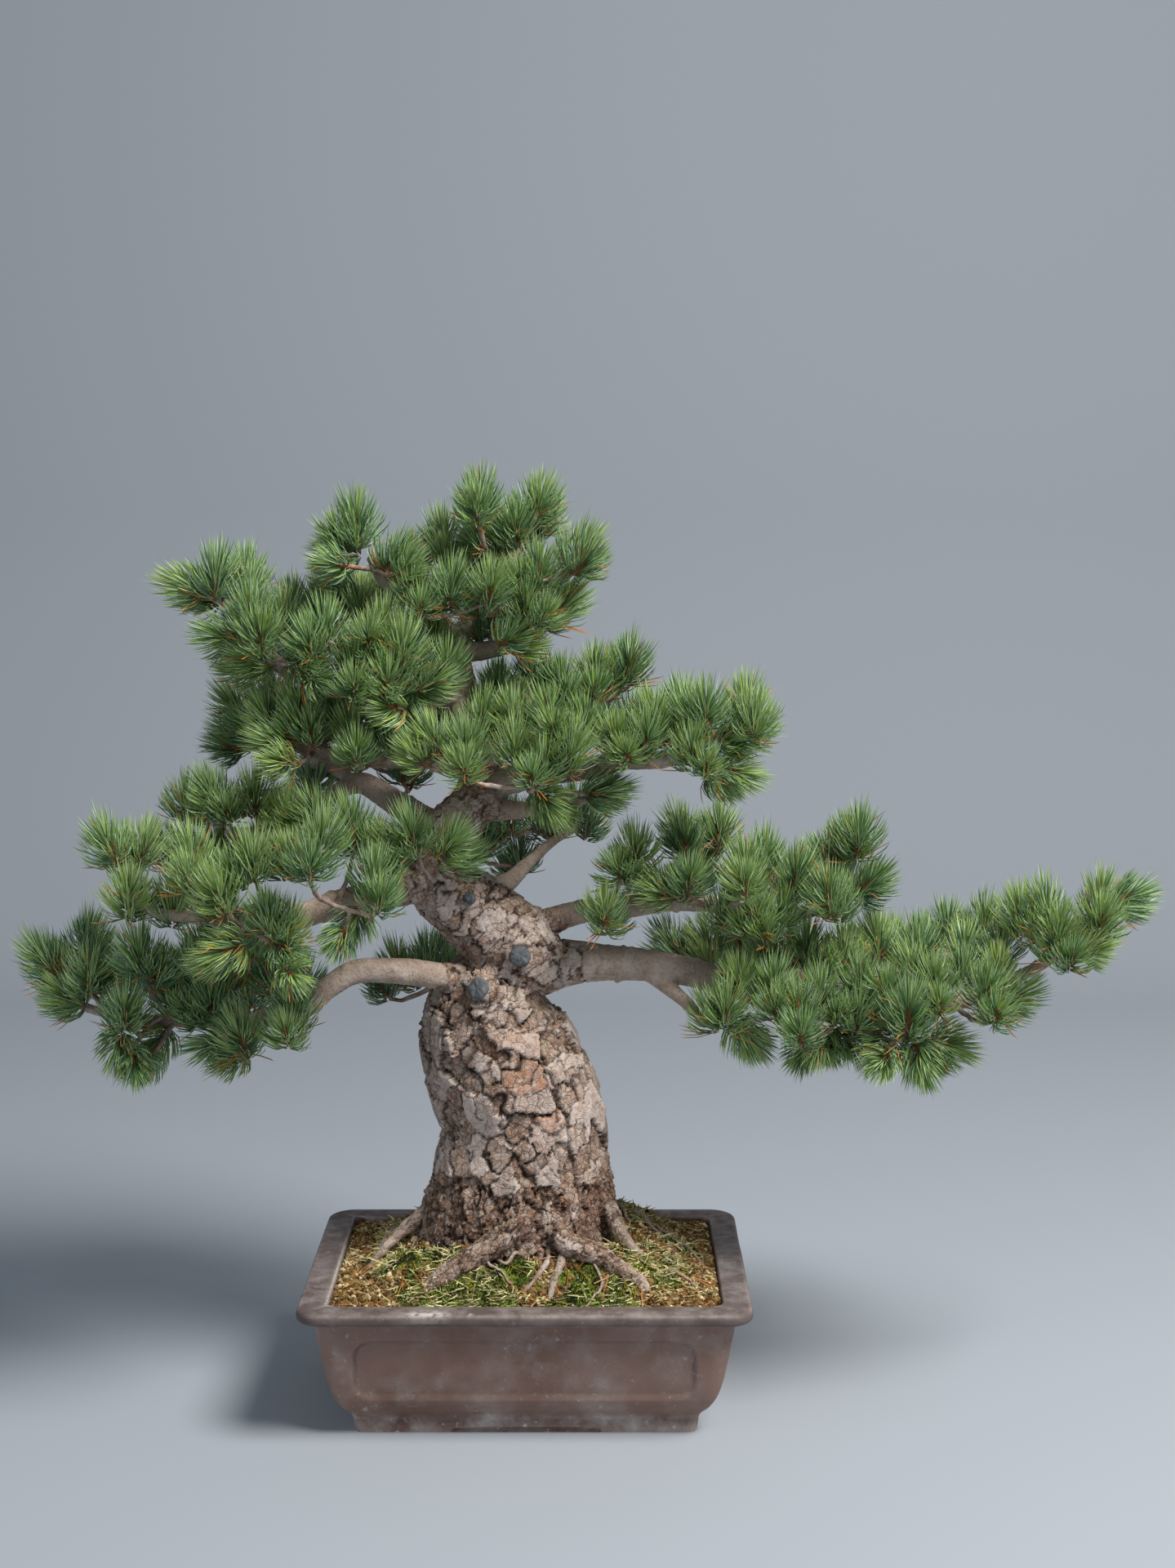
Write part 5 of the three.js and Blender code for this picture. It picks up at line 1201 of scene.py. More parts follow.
def stone():
    """Corners and faces of a rough pebble, about one unit across."""
    golden = (1 + math.sqrt(5)) / 2
    corners = np.array([[0, s, t * golden] for s in (-1, 1) for t in (-1, 1)])
    corners = unit(np.vstack([corners, corners[:, [1, 2, 0]], corners[:, [2, 0, 1]]])) * 0.5
    faces = []
    for a in range(12):
        for b in range(a + 1, 12):
            for c in range(b + 1, 12):
                sides = [np.linalg.norm(corners[p] - corners[q]) for p, q in ((a, b), (b, c), (a, c))]
                if max(sides) < 0.56:
                    facing = np.cross(corners[b] - corners[a], corners[c] - corners[a])
                    faces.append([a, b, c] if np.dot(facing, corners[a]) > 0 else [a, c, b])
    return corners, np.array(faces)


def random_turns(draws, count):
    """Rotation matrices in any direction."""
    q = unit(draws.normal(size=(count, 4)))
    w, x, y, z = q.T
    return np.stack([
        np.stack([1 - 2 * (y * y + z * z), 2 * (x * y - z * w), 2 * (x * z + y * w)], -1),
        np.stack([2 * (x * y + z * w), 1 - 2 * (x * x + z * z), 2 * (y * z - x * w)], -1),
        np.stack([2 * (x * z - y * w), 2 * (y * z + x * w), 1 - 2 * (x * x + y * y)], -1)], -2)


def scatter(draws, count):
    """Places spread over the soil, clear of the lip and the trunk, with rounded corners."""
    half_x, half_y = OPENING - 2.5
    x = draws.uniform(-half_x, half_x, count * 2)
    y = draws.uniform(-half_y, half_y, count * 2)
    corner = np.hypot(np.maximum(np.abs(x) - half_x + 14, 0), np.maximum(np.abs(y) - half_y + 14, 0)) < 14
    clear = ((x + 9) / 84) ** 2 + ((y - 5) / 74) ** 2 > 1
    keep = corner & clear
    return x[keep][:count], y[keep][:count]


def kept_inside(flat):
    """Level places, with those past the lip moved back to it."""
    return np.clip(flat, 3 - OPENING, OPENING - 3)


def grow_grit(shape, look):
    """Loose grains, fewer on the moss, drawn darker in the hollows and paler on the lumps as painted shade
    and light.
    """
    draws = np.random.default_rng(SEED + 3)
    x, y = scatter(draws, look.grains)
    size = look.grain / MM * np.exp(draws.normal(0, 0.28, len(x)))
    bare = moss_thickness(x, y) < draws.uniform(0.0, 3.0, len(x))
    x, y, size = x[bare], y[bare], size[bare]
    corners, faces = stone()
    count, sides = len(x), len(corners)
    stretch = draws.uniform(0.72, 1.2, (count, 1, 3))
    rough = 1 + draws.uniform(-0.16, 0.16, (count, sides, 1))
    turned = np.einsum("nij,nkj->nki", random_turns(draws, count), corners * stretch * rough)
    middle = np.column_stack([x, y, bed_height(x, y) + 0.22 * size])
    points = turned * size[:, None, None] + middle[:, None, :]
    # Painted shade and light: grains in hollows are drawn darker, those on lumps paler.
    hollow_shade = -lumps_at(x, y)
    pale = draws.random(count) < 0.13 + 0.3 * smooth_step(0.1, 0.5, -hollow_shade)
    pale = pale * draws.uniform(0.4, 1.0, count)
    dark = np.where(draws.random(count) < 0.5 + 0.6 * hollow_shade, draws.uniform(0.4, 1.0, count),
                    draws.uniform(0, 0.25, count))
    tone = np.column_stack([pale, dark * (1 - pale), draws.random(count), np.ones(count)])
    shape.add(points, repeated(faces, sides, count), np.repeat(tone, sides, axis=0))


SPIKE_POINTS = 7


def spike_points(base, tips, width, draws):
    """Three-sided blades with one bend, from their feet to their tips."""
    way = tips - base
    side = unit(np.cross(unit(way), unit(draws.normal(size=way.shape)))) * width[:, None]
    other = unit(np.cross(way, side)) * width[:, None]
    ring = np.stack([side, -0.5 * side + 0.87 * other, -0.5 * side - 0.87 * other], axis=1)
    middle = base + 0.55 * way + draws.normal(0, 0.06, way.shape) * np.linalg.norm(way, axis=1)[:, None]
    points = np.concatenate([base[:, None] + ring, middle[:, None] + 0.8 * ring, tips[:, None]], axis=1)
    faces = np.array([[2, 1, 0], [0, 1, 4], [0, 4, 3], [1, 2, 5], [1, 5, 4], [2, 0, 3], [2, 3, 5],
                      [3, 4, 6], [4, 5, 6], [5, 3, 6]])
    return points, repeated(faces, SPIKE_POINTS, len(base))


def grow_moss(shape, look):
    """Short shoots on the cushions of moss."""
    draws = np.random.default_rng(SEED + 4)
    x, y = scatter(draws, look.blades * 3)
    thickness = moss_thickness(x, y)
    keep = thickness > draws.uniform(0.3, 3.4, len(x))
    x, y = x[keep][:look.blades], y[keep][:look.blades]
    count = len(x)
    base = np.column_stack([x, y, bed_height(x, y) - 0.4])
    lean = np.column_stack([draws.normal(0, 0.55, (count, 2)), np.ones(count)])
    tips = base + unit(lean) * draws.uniform(1.6, 4.2, count)[:, None]
    points, triangles = spike_points(base, tips, draws.uniform(0.35, 0.6, count), draws)
    # Painted shade: shoots in hollows and in the deep cushions are drawn darker.
    crown = (0.1 + 0.9 * smooth_step(-0.25, 0.35, lumps_at(x, y))) * (1 - 0.72 * cushion_shade(x, y))
    crown = np.repeat(crown, SPIKE_POINTS)
    height = np.tile([0.0, 0.0, 0.0, 0.6, 0.6, 0.6, 1.0], count) * crown
    dry = np.repeat(0.5 * draws.random(count) ** 3, SPIKE_POINTS) * crown
    shape.add(points, triangles, np.column_stack([height, dry, height, np.ones(len(height))]))


def strew_strands(shape):
    """Dry strands, thicker where there is moss."""
    draws = np.random.default_rng(SEED + 7)
    x, y = scatter(draws, 7600)
    liking = moss_thickness(x, y) + 3 * lumps_at(x, y) - 6 * cushion_shade(x, y)
    keep = liking > draws.uniform(-0.3, 3.4, len(x))
    x, y = x[keep], y[keep]
    count = len(x)
    base = np.column_stack([x, y, bed_height(x, y) + draws.uniform(0.2, 2.4, count)])
    turn = draws.uniform(0, 2 * math.pi, count)
    way = np.column_stack([np.cos(turn), np.sin(turn), draws.normal(0.12, 0.2, count)])
    tips = base + way * draws.uniform(4, 15, count)[:, None]
    tips[:, :2] = kept_inside(tips[:, :2])
    points, triangles = spike_points(base, tips, draws.uniform(0.35, 0.95, count), draws)
    straw = np.repeat(draws.uniform(0.1, 1.0, count), SPIKE_POINTS)
    full = np.ones(len(straw))
    shape.add(points, triangles, np.column_stack([full, straw, straw, full]))


# Fine roots that come to the surface: x, y, how far they stand out of the bed, and radius.
FINE_ROOTS = [
    [[-138, -12, 1, 1.0], [-137, 4, 4, 1.6], [-134, 22, 3, 2.0], [-126, 40, 2, 2.2], [-112, 52, 1, 2.6]],
    [[-128, 36, 2, 1.6], [-124, 24, 3, 1.3], [-122, 14, 1, 0.8]],
    [[-106, -26, 1, 1.0], [-99, -12, 4, 1.5], [-89, -18, 2, 1.4], [-80, -6, 3, 1.7], [-72, 4, 1, 1.6]],
    [[-96, 24, 1, 1.4], [-84, 32, 3, 2.2], [-72, 44, 3, 2.6], [-56, 54, 3, 3.0]],
    [[-44, -101, 1, 0.8], [-32, -78, 5, 1.4], [-17, -88, 4, 1.5], [-3, -66, 6, 1.8]],
    [[-56, -88, 2, 0.8], [-40, -86, 4, 1.2], [-28, -94, 3, 1.1], [-12, -100, 2, 0.8]],
    [[80, 70, 2, 2.2], [88, 48, 4, 1.8], [95, 28, 1, 1.1]],
    [[98, 50, 2, 1.8], [118, 32, 4, 1.5], [128, 16, 2, 1.3], [141, -18, 1, 0.8]],
    [[108, 48, 2, 1.4], [140, 26, 3, 1.2], [160, -4, 2, 1.0], [168, -30, 1, 0.6]],
    [[120, -62, 1, 1.4], [140, -68, 4, 1.2], [152, -74, 3, 1.1], [167, -84, 1, 0.7]],
    [[60, -88, 1, 1.0], [68, -100, 4, 1.2], [62, -112, 3, 1.0], [54, -120, 1, 0.7]],
]


def lay_fine_roots(shape):
    for row in FINE_ROOTS:
        curve = spline(row, 8)
        curve[:, 2] += bed_height(curve[:, 0], curve[:, 1])
        points, triangles = closed_rings(tube_rings(curve[:, :3], curve[:, 3] * 1.15, 8))
        shape.add(points, triangles, (0.9, 0.42, 0.0, 0.55), smooth=True)


# Sprigs of grass and weed: x, y, how many blades and their length.
SPRIGS = [[-112, -62, 9, 24], [-96, -84, 6, 16], [-64, -88, 7, 18], [118, -70, 6, 15], [84, -66, 7, 22],
          [148, -24, 5, 14], [-30, 110, 8, 20], [60, 104, 6, 18], [-140, 24, 6, 16]]


def grow_sprigs(shape):
    draws = np.random.default_rng(SEED + 5)
    for x, y, count, length in SPRIGS:
        turn = draws.uniform(0, 2 * math.pi, count)
        lean = draws.uniform(0.15, 0.75, count)
        near_x, near_y = x + draws.normal(0, 2, count), y + draws.normal(0, 2, count)
        base = np.column_stack([near_x, near_y, bed_height(near_x, near_y) - 1])
        way = np.column_stack([np.cos(turn) * lean, np.sin(turn) * lean, np.ones(count)])
        tips = base + unit(way) * (length * draws.uniform(0.6, 1.1, count))[:, None]
        points, triangles = spike_points(base, tips, draws.uniform(0.45, 0.75, count), draws)
        shape.add(points, triangles, (0.8, 0, 0.8, 1))


def drop_needles(shape):
    """Withered needles lying on the soil."""
    draws = np.random.default_rng(SEED + 6)
    x, y = scatter(draws, 260)
    count = len(x)
    turn = draws.uniform(0, 2 * math.pi, count)
    half = draws.uniform(8, 18, count)
    reach = np.column_stack([np.cos(turn), np.sin(turn)]) * half[:, None]
    ends = []
    for sign in (-1, 1):
        flat = kept_inside(np.column_stack([x, y]) + sign * reach)
        ends.append(np.column_stack([flat, bed_height(*flat.T) + draws.uniform(1.5, 3.5, count)]))
    points, triangles = spike_points(ends[0], ends[1], np.full(count, 0.5), draws)
    points[:, 3:6, 2] = np.maximum(points[:, 3:6, 2], (bed_height(x, y) + 1.8)[:, None])
    shape.add(points, triangles, (0.3, 0.5, 0.5, 1.0))


class BONSAI_OT_soil(Operator):
    """Makes the bed of soil, its loose grit, the moss, the sprigs of grass and the fallen needles"""
    bl_idname = "bonsai.soil"
    bl_label = "Soil and moss"

    def execute(self, context):
        look = context.scene.bonsai.soil
        points, triangles = soil_body(BED_STEP)
        bed = show(mesh_of("soil_bed", to_frame(points), triangles), [])
        wall = [[LIP_WIDTH + 9, 38], [LIP_WIDTH + 4, 62], [LIP_WIDTH + 1, 106], [LIP_WIDTH, 121],
                [LIP_WIDTH, SOIL_EDGE + SOIL_RISE + 20]]
        carve(bed, "INTERSECT", *rounded_block([[inset + 0.2, height] for inset, height in wall], 6))
        places = from_frame(points_of(bed.data))
        moss = smooth_step(0.4, 2.0, moss_thickness(places[:, 0], places[:, 1])) * (places[:, 2] > 110)
        add_tones(bed.data, np.column_stack([moss * 0, moss, moss * 0, moss * 0 + 1]))
        bed.data.materials.append(soil_material(look))
        bed.data.shade_smooth()
        settle(bed, "soil", "soil")
        grit = Shape()
        grow_grit(grit, look)
        settle(grit.piece("loose_grit", [grit_material(look)]), "soil")
        moss_shape = Shape()
        grow_moss(moss_shape, look)
        strew_strands(moss_shape)
        grow_sprigs(moss_shape)
        settle(moss_shape.piece("moss", [moss_material(look)]), "soil")
        litter = Shape()
        drop_needles(litter)
        settle(litter.piece("fallen_needles", [foliage_material("needles")]), "needles")
        roots = Shape()
        lay_fine_roots(roots)
        settle(roots.piece("fine_roots", [bark_material(context.scene.bonsai.bark)]), "bark")
        return {"FINISHED"}


def foliage_material(kind):
    """The needles' or the twigs' material, made when it is first asked for."""
    settings = bpy.context.scene.bonsai
    names = {"needles": "pine_needles", "twigs": "young_wood"}
    found = bpy.data.materials.get(names[kind])
    if found:
        return found
    if kind == "needles":
        return needle_material(settings.needles)
    return twig_material(settings.bark, settings.needles)


# ---- trunk, limbs and roots ----


def places_on_wood(points, routes):
    """Which piece of wood each point lies on, its place round and along it, and the wood's radius there."""
    where = np.zeros((len(points), 3))
    girth = np.zeros(len(points))
    owner = np.zeros(len(points), int)
    closest = np.full(len(points), np.inf)
    for number, (route, ratio) in enumerate(routes):
        curve = spline(route, 6)
        curve[:, 1] *= ratio
        tangents, sides, acrosses = frames_along(curve[:, :3], first_side_of(curve[:, :3]))
        steps = np.linalg.norm(np.diff(curve[:, :3], axis=0), axis=1)
        lengths = np.concatenate([[0], np.cumsum(steps)]) + 137.0 * number
        flat = curve[:, :3].astype(np.float32)
        distances = np.linalg.norm(points[:, None].astype(np.float32) - flat[None], axis=2)
        nearest = np.argmin(distances, axis=1)
        reach = distances[np.arange(len(points)), nearest] - curve[nearest, 3]
        mine = reach < closest
        chosen = nearest[mine]
        away = points[mine] - curve[chosen, :3]
        along = lengths[chosen] + np.sum(away * tangents[chosen], axis=1)
        where[mine] = np.column_stack([np.sum(away * sides[chosen], axis=1),
                                       np.sum(away * acrosses[chosen], axis=1), along])
        girth[mine] = curve[chosen, 3]
        owner[mine] = number
        closest[mine] = reach[mine]
    return owner, where, girth, closest


def flutes(angle, height):
    """Slow flutes round the trunk, as a share of its radius."""
    return FLUTE_SHARE * (0.6 * np.sin(5 * angle + height / 52) + 0.4 * np.sin(3 * angle - height / 37))


def main_plates(angle, height, radius):
    """The nearest main plate and how far off its middle is, in halves of the plate's size."""
    turn, middle, half_width, half_height, _ = PLATES.T
    apart = (np.degrees(angle)[:, None] - turn + 180) % 360 - 180
    away = np.hypot(np.radians(apart) * radius[:, None] / half_width,
                    (height[:, None] - middle) / half_height)
    plate = np.argmin(away, axis=1)
    return plate, away[np.arange(len(plate)), plate]


def waves(points, scale, shift=0.0, octaves=1):
    """Smooth noise from about -1 to 1 at each point."""
    if octaves == 1:
        return np.array([noise.noise(Vector(p)) for p in points * scale + shift])
    return np.array([noise.fractal(Vector(p), 0.9, 2.1, octaves) for p in points * scale + shift])


def cell_draw(corner, shift=0.0):
    """A cell's own number from 0 to 1."""
    return 0.5 + 0.5 * noise.cell(Vector(corner) * 37.7 + Vector((0.5 + shift, 0.5, 0.5)))


def flakes(points, size, wander, shift):
    """Cells of one size. Returns their middles, their draws, the two nearest to every point, and its
    way to the border between them in millimetres."""
    corners = np.empty((len(points), 2, 3))
    border = np.empty(len(points))
    for index, p in enumerate(points / size + shift):
        place = Vector(p)
        fine = noise.noise_vector(place * 4.1) * (0.35 * wander)
        place += noise.noise_vector(place * 1.3) * wander + fine
        distances, found = noise.voronoi(place)
        corners[index] = found[0], found[1]
        border[index] = 0.5 * (distances[1] - distances[0])
    keys, number = np.unique(corners.reshape(-1, 3).round(3), axis=0, return_inverse=True)
    own = np.array([[cell_draw(key), cell_draw(key, 9.0)] for key in keys])
    return (keys - shift) * size, own, number.reshape(-1, 2), border * np.mean(size)


def mean_of(values, number, count):
    """Each flake's mean of a value of the points that it is nearest or next to."""
    held = np.maximum(np.bincount(number.ravel(), minlength=count), 1)
    return np.bincount(number.ravel(), np.repeat(values, 2), count) / held


# How the bark of each kind of wood is layered: sizes of a flake and of a plate, two across the wood
# and one along it, how far the plates stand out, how uneven the flakes lie, how pale they are and how
# far their borders wander.
BARK_KINDS = {
    "trunk": {"flake": (15, 15, 16), "plate": (40, 40, 42), "rise": 3.6, "uneven": 0.7, "pale": 0.38,
              "wander": 0.26},
    "leader": {"flake": (17, 17, 11), "plate": (52, 52, 34), "rise": 2.6, "uneven": 0.7, "pale": 0.38,
               "wander": 0.4},
    "base": {"flake": (6.5, 6.5, 13), "plate": (19, 19, 46), "rise": 3.4, "uneven": 1.0, "pale": 0.05,
             "wander": 0.62},
}
# By layer, from the ground between the plates to their middles: where it starts, how high it
# stands, how uneven it lies and how far it crumbles into small flakes.
LAYER_STARTS = [0.12, 0.4, 0.72]
LAYER_HEIGHT = np.array([0.0, 0.6, 0.86, 1.0])
LAYER_UNEVEN = np.array([1.6, 1.0, 0.5, 0.3])
LAYER_CRUMBLE = np.array([1.0, 0.75, 0.3, 0.14])
LOOSE_UNEVEN = 1.4
SMALL_FLAKE = np.array([4.6, 4.6, 5.6])


def layered(where, heights, radius, on_trunk, kind, crack_depth):
    """Flat flakes that lie in layers on larger plates: their height, how open (darkened in cracks as dark
    inner bark and painted shade, and under higher flakes as painted shade), how pale and how fresh.
    """
    size = np.array(kind["flake"], float)
    uneven = kind["uneven"]
    middles, own, number, border = flakes(where, size, kind["wander"], 3.3)
    count = len(middles)
    angle = np.arctan2(middles[:, 1], middles[:, 0] / TRUNK_DEPTH_RATIO)
    level_height = mean_of(heights - where[:, 2], number, count) + middles[:, 2]
    plate, away = main_plates(angle, level_height, mean_of(radius, number, count))
    away = 0.86 * away
    known = (mean_of(on_trunk, number, count) > 0.5) & (away < 1.25)
    found = [noise.voronoi(Vector(p)) for p in middles / kind["plate"] + 7.7]
    loose = np.array([cell_draw(corners[0]) for _, corners in found])
    away = np.where(known, away, [distances[0] / 0.6 for distances, _ in found])
    group = np.where(known, plate, 100 + np.round(loose * 1e5))
    rise = np.where(known, 1.25 * PLATES[plate, 4], kind["rise"] * (0.55 + 0.7 * loose))
    draw = np.where(known, (plate * 0.37 + 0.21) % 1.0, loose)
    layer = np.digitize(1.12 - away + 0.34 * (own[:, 0] - 0.5), LAYER_STARTS)
    tilt = uneven * (own[:, 1] - 0.5) * np.where(known, LAYER_UNEVEN[layer], LOOSE_UNEVEN)
    stand = rise * LAYER_HEIGHT[layer] + tilt

    mine, beside = number.T
    plated = known[mine] & (layer[mine] > 0)
    off = (where - middles[mine]) / size
    turn = 9 * own[mine, 0]
    lean = (off[:, 0] * np.cos(turn) + off[:, 1] * np.sin(turn)) * 1.5 - 0.9 * off[:, 2]
    apart = np.degrees(np.arctan2(where[:, 1], where[:, 0] / TRUNK_DEPTH_RATIO)) - PLATES[plate[mine], 0]
    apart = np.radians((apart + 180) % 360 - 180)
    flat = plated * np.clip(0.3 * apart ** 2 * radius, 0, 3.0)
    across = 0.5 * (1 - smooth_step(0.0, 0.9, border))
    height = stand[mine] * (1 - across) + stand[beside] * across
    other = group[mine] != group[beside]
    low = (layer[mine] == 0) & (layer[beside] == 0)
    crack = other * (1 - smooth_step(0.2, 1.8, border)) * (0.5 + 0.5 * own[mine, 1]) * (1 - 0.6 * low)
    hair = ~other * (own[mine, 1] + own[beside, 1] > 1.15) * (1 - smooth_step(0.0, 1.0, border))
    # Painted shade under the edge of a higher flake.
    under = (layer[beside] > layer[mine]) * (1 - smooth_step(0.2, 2.2, border))
    # Rims of higher flakes are drawn paler, as wear and as painted highlight.
    rim_wear_and_highlight = (layer[beside] < layer[mine]) * (1 - smooth_step(0.3, 1.6, border))

    _, small_own, small_number, small_border = flakes(where, SMALL_FLAKE, 0.4, 5.1)
    small_draw = small_own[small_number[:, 0], 0]
    crumbly = uneven * LAYER_CRUMBLE[layer[mine]]
    crumbs = 1.3 * (small_draw - 0.5) - 0.5 * (1 - smooth_step(0, 0.9, small_border))
    fine = waves(where, 0.42, 0.0, 3)
    height = (height + flat - PLATE_SINK + uneven * lean * (1 - 0.75 * plated) - crack_depth * crack
              - 0.7 * hair + crumbly * crumbs + (0.25 + 0.35 * crumbly) * fine
              + waves(where, 0.06, 4.0) + 2.2 * waves(where, 0.024, 6.0))
    # Cracks and hairlines darken the bark as dark inner bark and as painted shade; the shade under higher
    # flakes is painted too.
    open_unshaded = (1 - 0.97 * crack) * (1 - 0.6 * hair) * (1 - 0.7 * under)
    open_unshaded = open_unshaded * (1 - 0.4 * crumbly * (1 - smooth_step(0.0, 0.8, small_border)))
    # The pale tone includes the rims of higher flakes, as wear and as painted highlight.
    pale = (kind["pale"] + 0.12 * layer[mine] + 0.16 * (own[mine, 0] - 0.5) + 0.3 * (draw[mine] - 0.5)
            + 0.22 * rim_wear_and_highlight + 0.07 * known[mine] * (layer[mine] > 1) + 0.4 * crumbly * (small_draw - 0.6)
            + 0.2 * waves(where, 0.07, 2.0, 4) + 0.1 * fine)
    freshness = np.array([FRESH_PLATES.get(index, 0.0) for index in range(len(PLATES))])[plate[mine]]
    bared = (away[mine] < 0.62) * smooth_step(-0.5, 0.3, fine) * (own[mine, 0] > 0.12)
    fresh = np.maximum(known[mine] * freshness * bared, 0.55 * (small_draw > 0.86) * crumbly)
    return np.column_stack([height, open_unshaded, pale, fresh])


def raise_bark(places, owner, where, radius, to_trunk, crack_depth):
    """Height of the bark over the plain wood, in millimetres, and the four tones of each point.

    The tones are how open the bark is, with cracks drawn darker as dark inner bark and painted shade and
    with painted shade under flakes and in the limbs' ring creases, how pale, how freshly flaked, and how
    coarse."""
    root = (places[:, 2] < 205) * (radius <= 30)
    ragged = waves(where, 0.05, 3.0)
    base = (places[:, 2] + 16 * ragged < 212) | root
    upper = (owner > 0) | (places[:, 2] > 392)
    on_trunk = (owner == 0) & (places[:, 2] > 196) & (places[:, 2] < 388)
    coarse = np.maximum(smooth_step(13, 24, radius), root * (1 - 0.4 * smooth_step(10, 5, radius)))
    coarse = np.maximum(coarse, smooth_step(30, 8, to_trunk + 9 * ragged) * (radius > 8))
    size = np.clip(radius / 44, 0.22, 1.0)
    bark = np.zeros((len(places), 4))
    for name, chosen in (("base", base), ("leader", upper & ~base), ("trunk", ~upper & ~base)):
        chosen = chosen & (coarse > 0)
        if chosen.any():
            bark[chosen] = layered(where[chosen], places[chosen, 2], radius[chosen], on_trunk[chosen],
                                   BARK_KINDS[name], crack_depth)
    grain = waves(where * [1, 1, 0.25], 0.3, 1.0, 2)
    rings = waves(where * [0.3, 0.3, 1], 0.33)
    fine = waves(where, 0.42, 0.0, 2)
    smooth = 0.45 * rings * smooth_step(4, 9, radius) + 0.22 * fine
    smooth += 1.5 * waves(where, 0.03) * smooth_step(4, 14, radius)
    smooth += 0.5 * np.maximum(waves(where, 0.11, 8.0) - 0.35, 0) * radius
    gnarls = root * (0.8 * waves(where, 0.13, 5.0) + 0.5 * grain)
    height = bark[:, 0] * size * coarse + smooth * (1 - coarse) + gnarls
    # Painted shade in the ring creases of the limbs.
    ring_crease_shade = np.clip(1.0 + 0.5 * np.minimum(rings + 0.25, 0), 0.6, 1)
    open_unshaded = bark[:, 1] * coarse + ring_crease_shade * (1 - coarse)
    pale = bark[:, 2] + root * (0.14 + 0.36 * smooth_step(11, 6, radius))
    return height, np.column_stack([open_unshaded, np.clip(pale, 0, 1), bark[:, 3] * coarse, coarse])


def wood_body(routes, depth_ratios, sides):
    """All routes as closed tubes in one mesh. The thick ones have the trunk's flutes."""
    shape = Shape()
    for route, ratio, count in zip(routes, depth_ratios, sides):
        curve = spline(route, 6)
        height = curve[:, 2:3]

        def swell(angle, index):
            return 1 + flutes(angle, height[index[:, 0]]) * (count >= 40)
        shape.add(*closed_rings(tube_rings(curve[:, :3], curve[:, 3], count, swell, ratio)))
    return shape


def heal_cuts(places, heights):
    """Keeps the bark off the sealed cuts and swells it to a collar round them."""
    for place, facing, radius in CUTS.values():
        offset = places - place
        depth = offset @ unit(facing)
        aside = np.linalg.norm(offset - depth[:, None] * unit(facing), axis=1) / radius
        near = np.abs(depth) < 16
        inside = near * smooth_step(1.2, 0.9, aside)
        heights = heights * (1 - inside) - inside + 2.4 * near * hump(aside, 1.4, 0.2)
    return heights


def grow_bark(name, shape, routes, voxel, crack_depth, material):
    """Fuses a rough body into one skin and raises its bark."""
    piece = shape.piece(name, [])
    modifier = piece.modifiers.new("fuse", "REMESH")
    modifier.mode = "VOXEL"
    modifier.voxel_size = voxel
    modifier.adaptivity = 0.0
    apply_modifiers(piece)
    mesh = piece.data
    places = from_frame(points_of(mesh))
    owner, where, girth, _ = places_on_wood(places, routes)
    to_trunk = places_on_wood(places, [(STUMP, TRUNK_DEPTH_RATIO), (LEADER[:8], 1.0)])[3]
    heights, shades = raise_bark(places, owner, where, girth, to_trunk, crack_depth)
    raised = to_frame(places + normals_of(mesh) * heal_cuts(places, heights)[:, None])
    mesh.vertices.foreach_set("co", raised.astype(np.float32).ravel())
    add_tones(mesh, shades)
    mesh.materials.append(material)
    mesh.shade_smooth()
    mesh.update()
    return piece


def cut_stub(place, facing, radius):
    """The stub of a pruned branch as a closed body that ends at the cut."""
    place = np.array(place, float)
    facing = unit(facing)
    places = np.array([place - facing * CUT_DEPTH, place - facing * 8, place - facing * 1.0, place])
    return closed_rings(tube_rings(places, [radius + 5, radius + 3.5, radius + CUT_COLLAR, radius], 24))


class BONSAI_OT_wood(Operator):
    """Makes the plated trunk with its roots and the smoother limbs"""
    bl_idname = "bonsai.wood"
    bl_label = "Trunk, roots and limbs"

    def execute(self, context):
        look = context.scene.bonsai.bark
        material = bark_material(look)
        roots = list(ROOTS.values())
        limbs = list(LIMBS.values())
        depth = look.crack_depth / MM
        thick = [STUMP[1:], LEADER[:6], *roots[:2]]
        stump = wood_body(thick, [TRUNK_DEPTH_RATIO, 1, 1, 1], [72, 40, 16, 16])
        for place, facing, radius in CUTS.values():
            stump.add(*cut_stub(place, facing, radius))
        lines = [(STUMP, TRUNK_DEPTH_RATIO)] + [(route, 1.0) for route in (LEADER, *roots, LIMBS["knob"])]
        trunk = grow_bark("trunk_bark", stump, lines, look.stump_fineness, depth, material)
        settle(trunk, "bark", "trunk")
        thin = [LEADER[3:], *roots[2:], LIMBS["knob"]]
        leader = wood_body(thin, [1.0] * len(thin), [40] + [16] * (len(thin) - 1))
        leader = grow_bark("leader_bark", leader, lines, look.limb_fineness, depth, material)
        settle(leader, "bark", "trunk")
        branches = wood_body(limbs, [1.0] * len(limbs), [16] * len(limbs))
        lines = [(route, 1.0) for route in limbs]
        branches = grow_bark("limbs", branches, lines, look.limb_fineness, depth, material)
        settle(branches, "bark", "trunk")
        return {"FINISHED"}


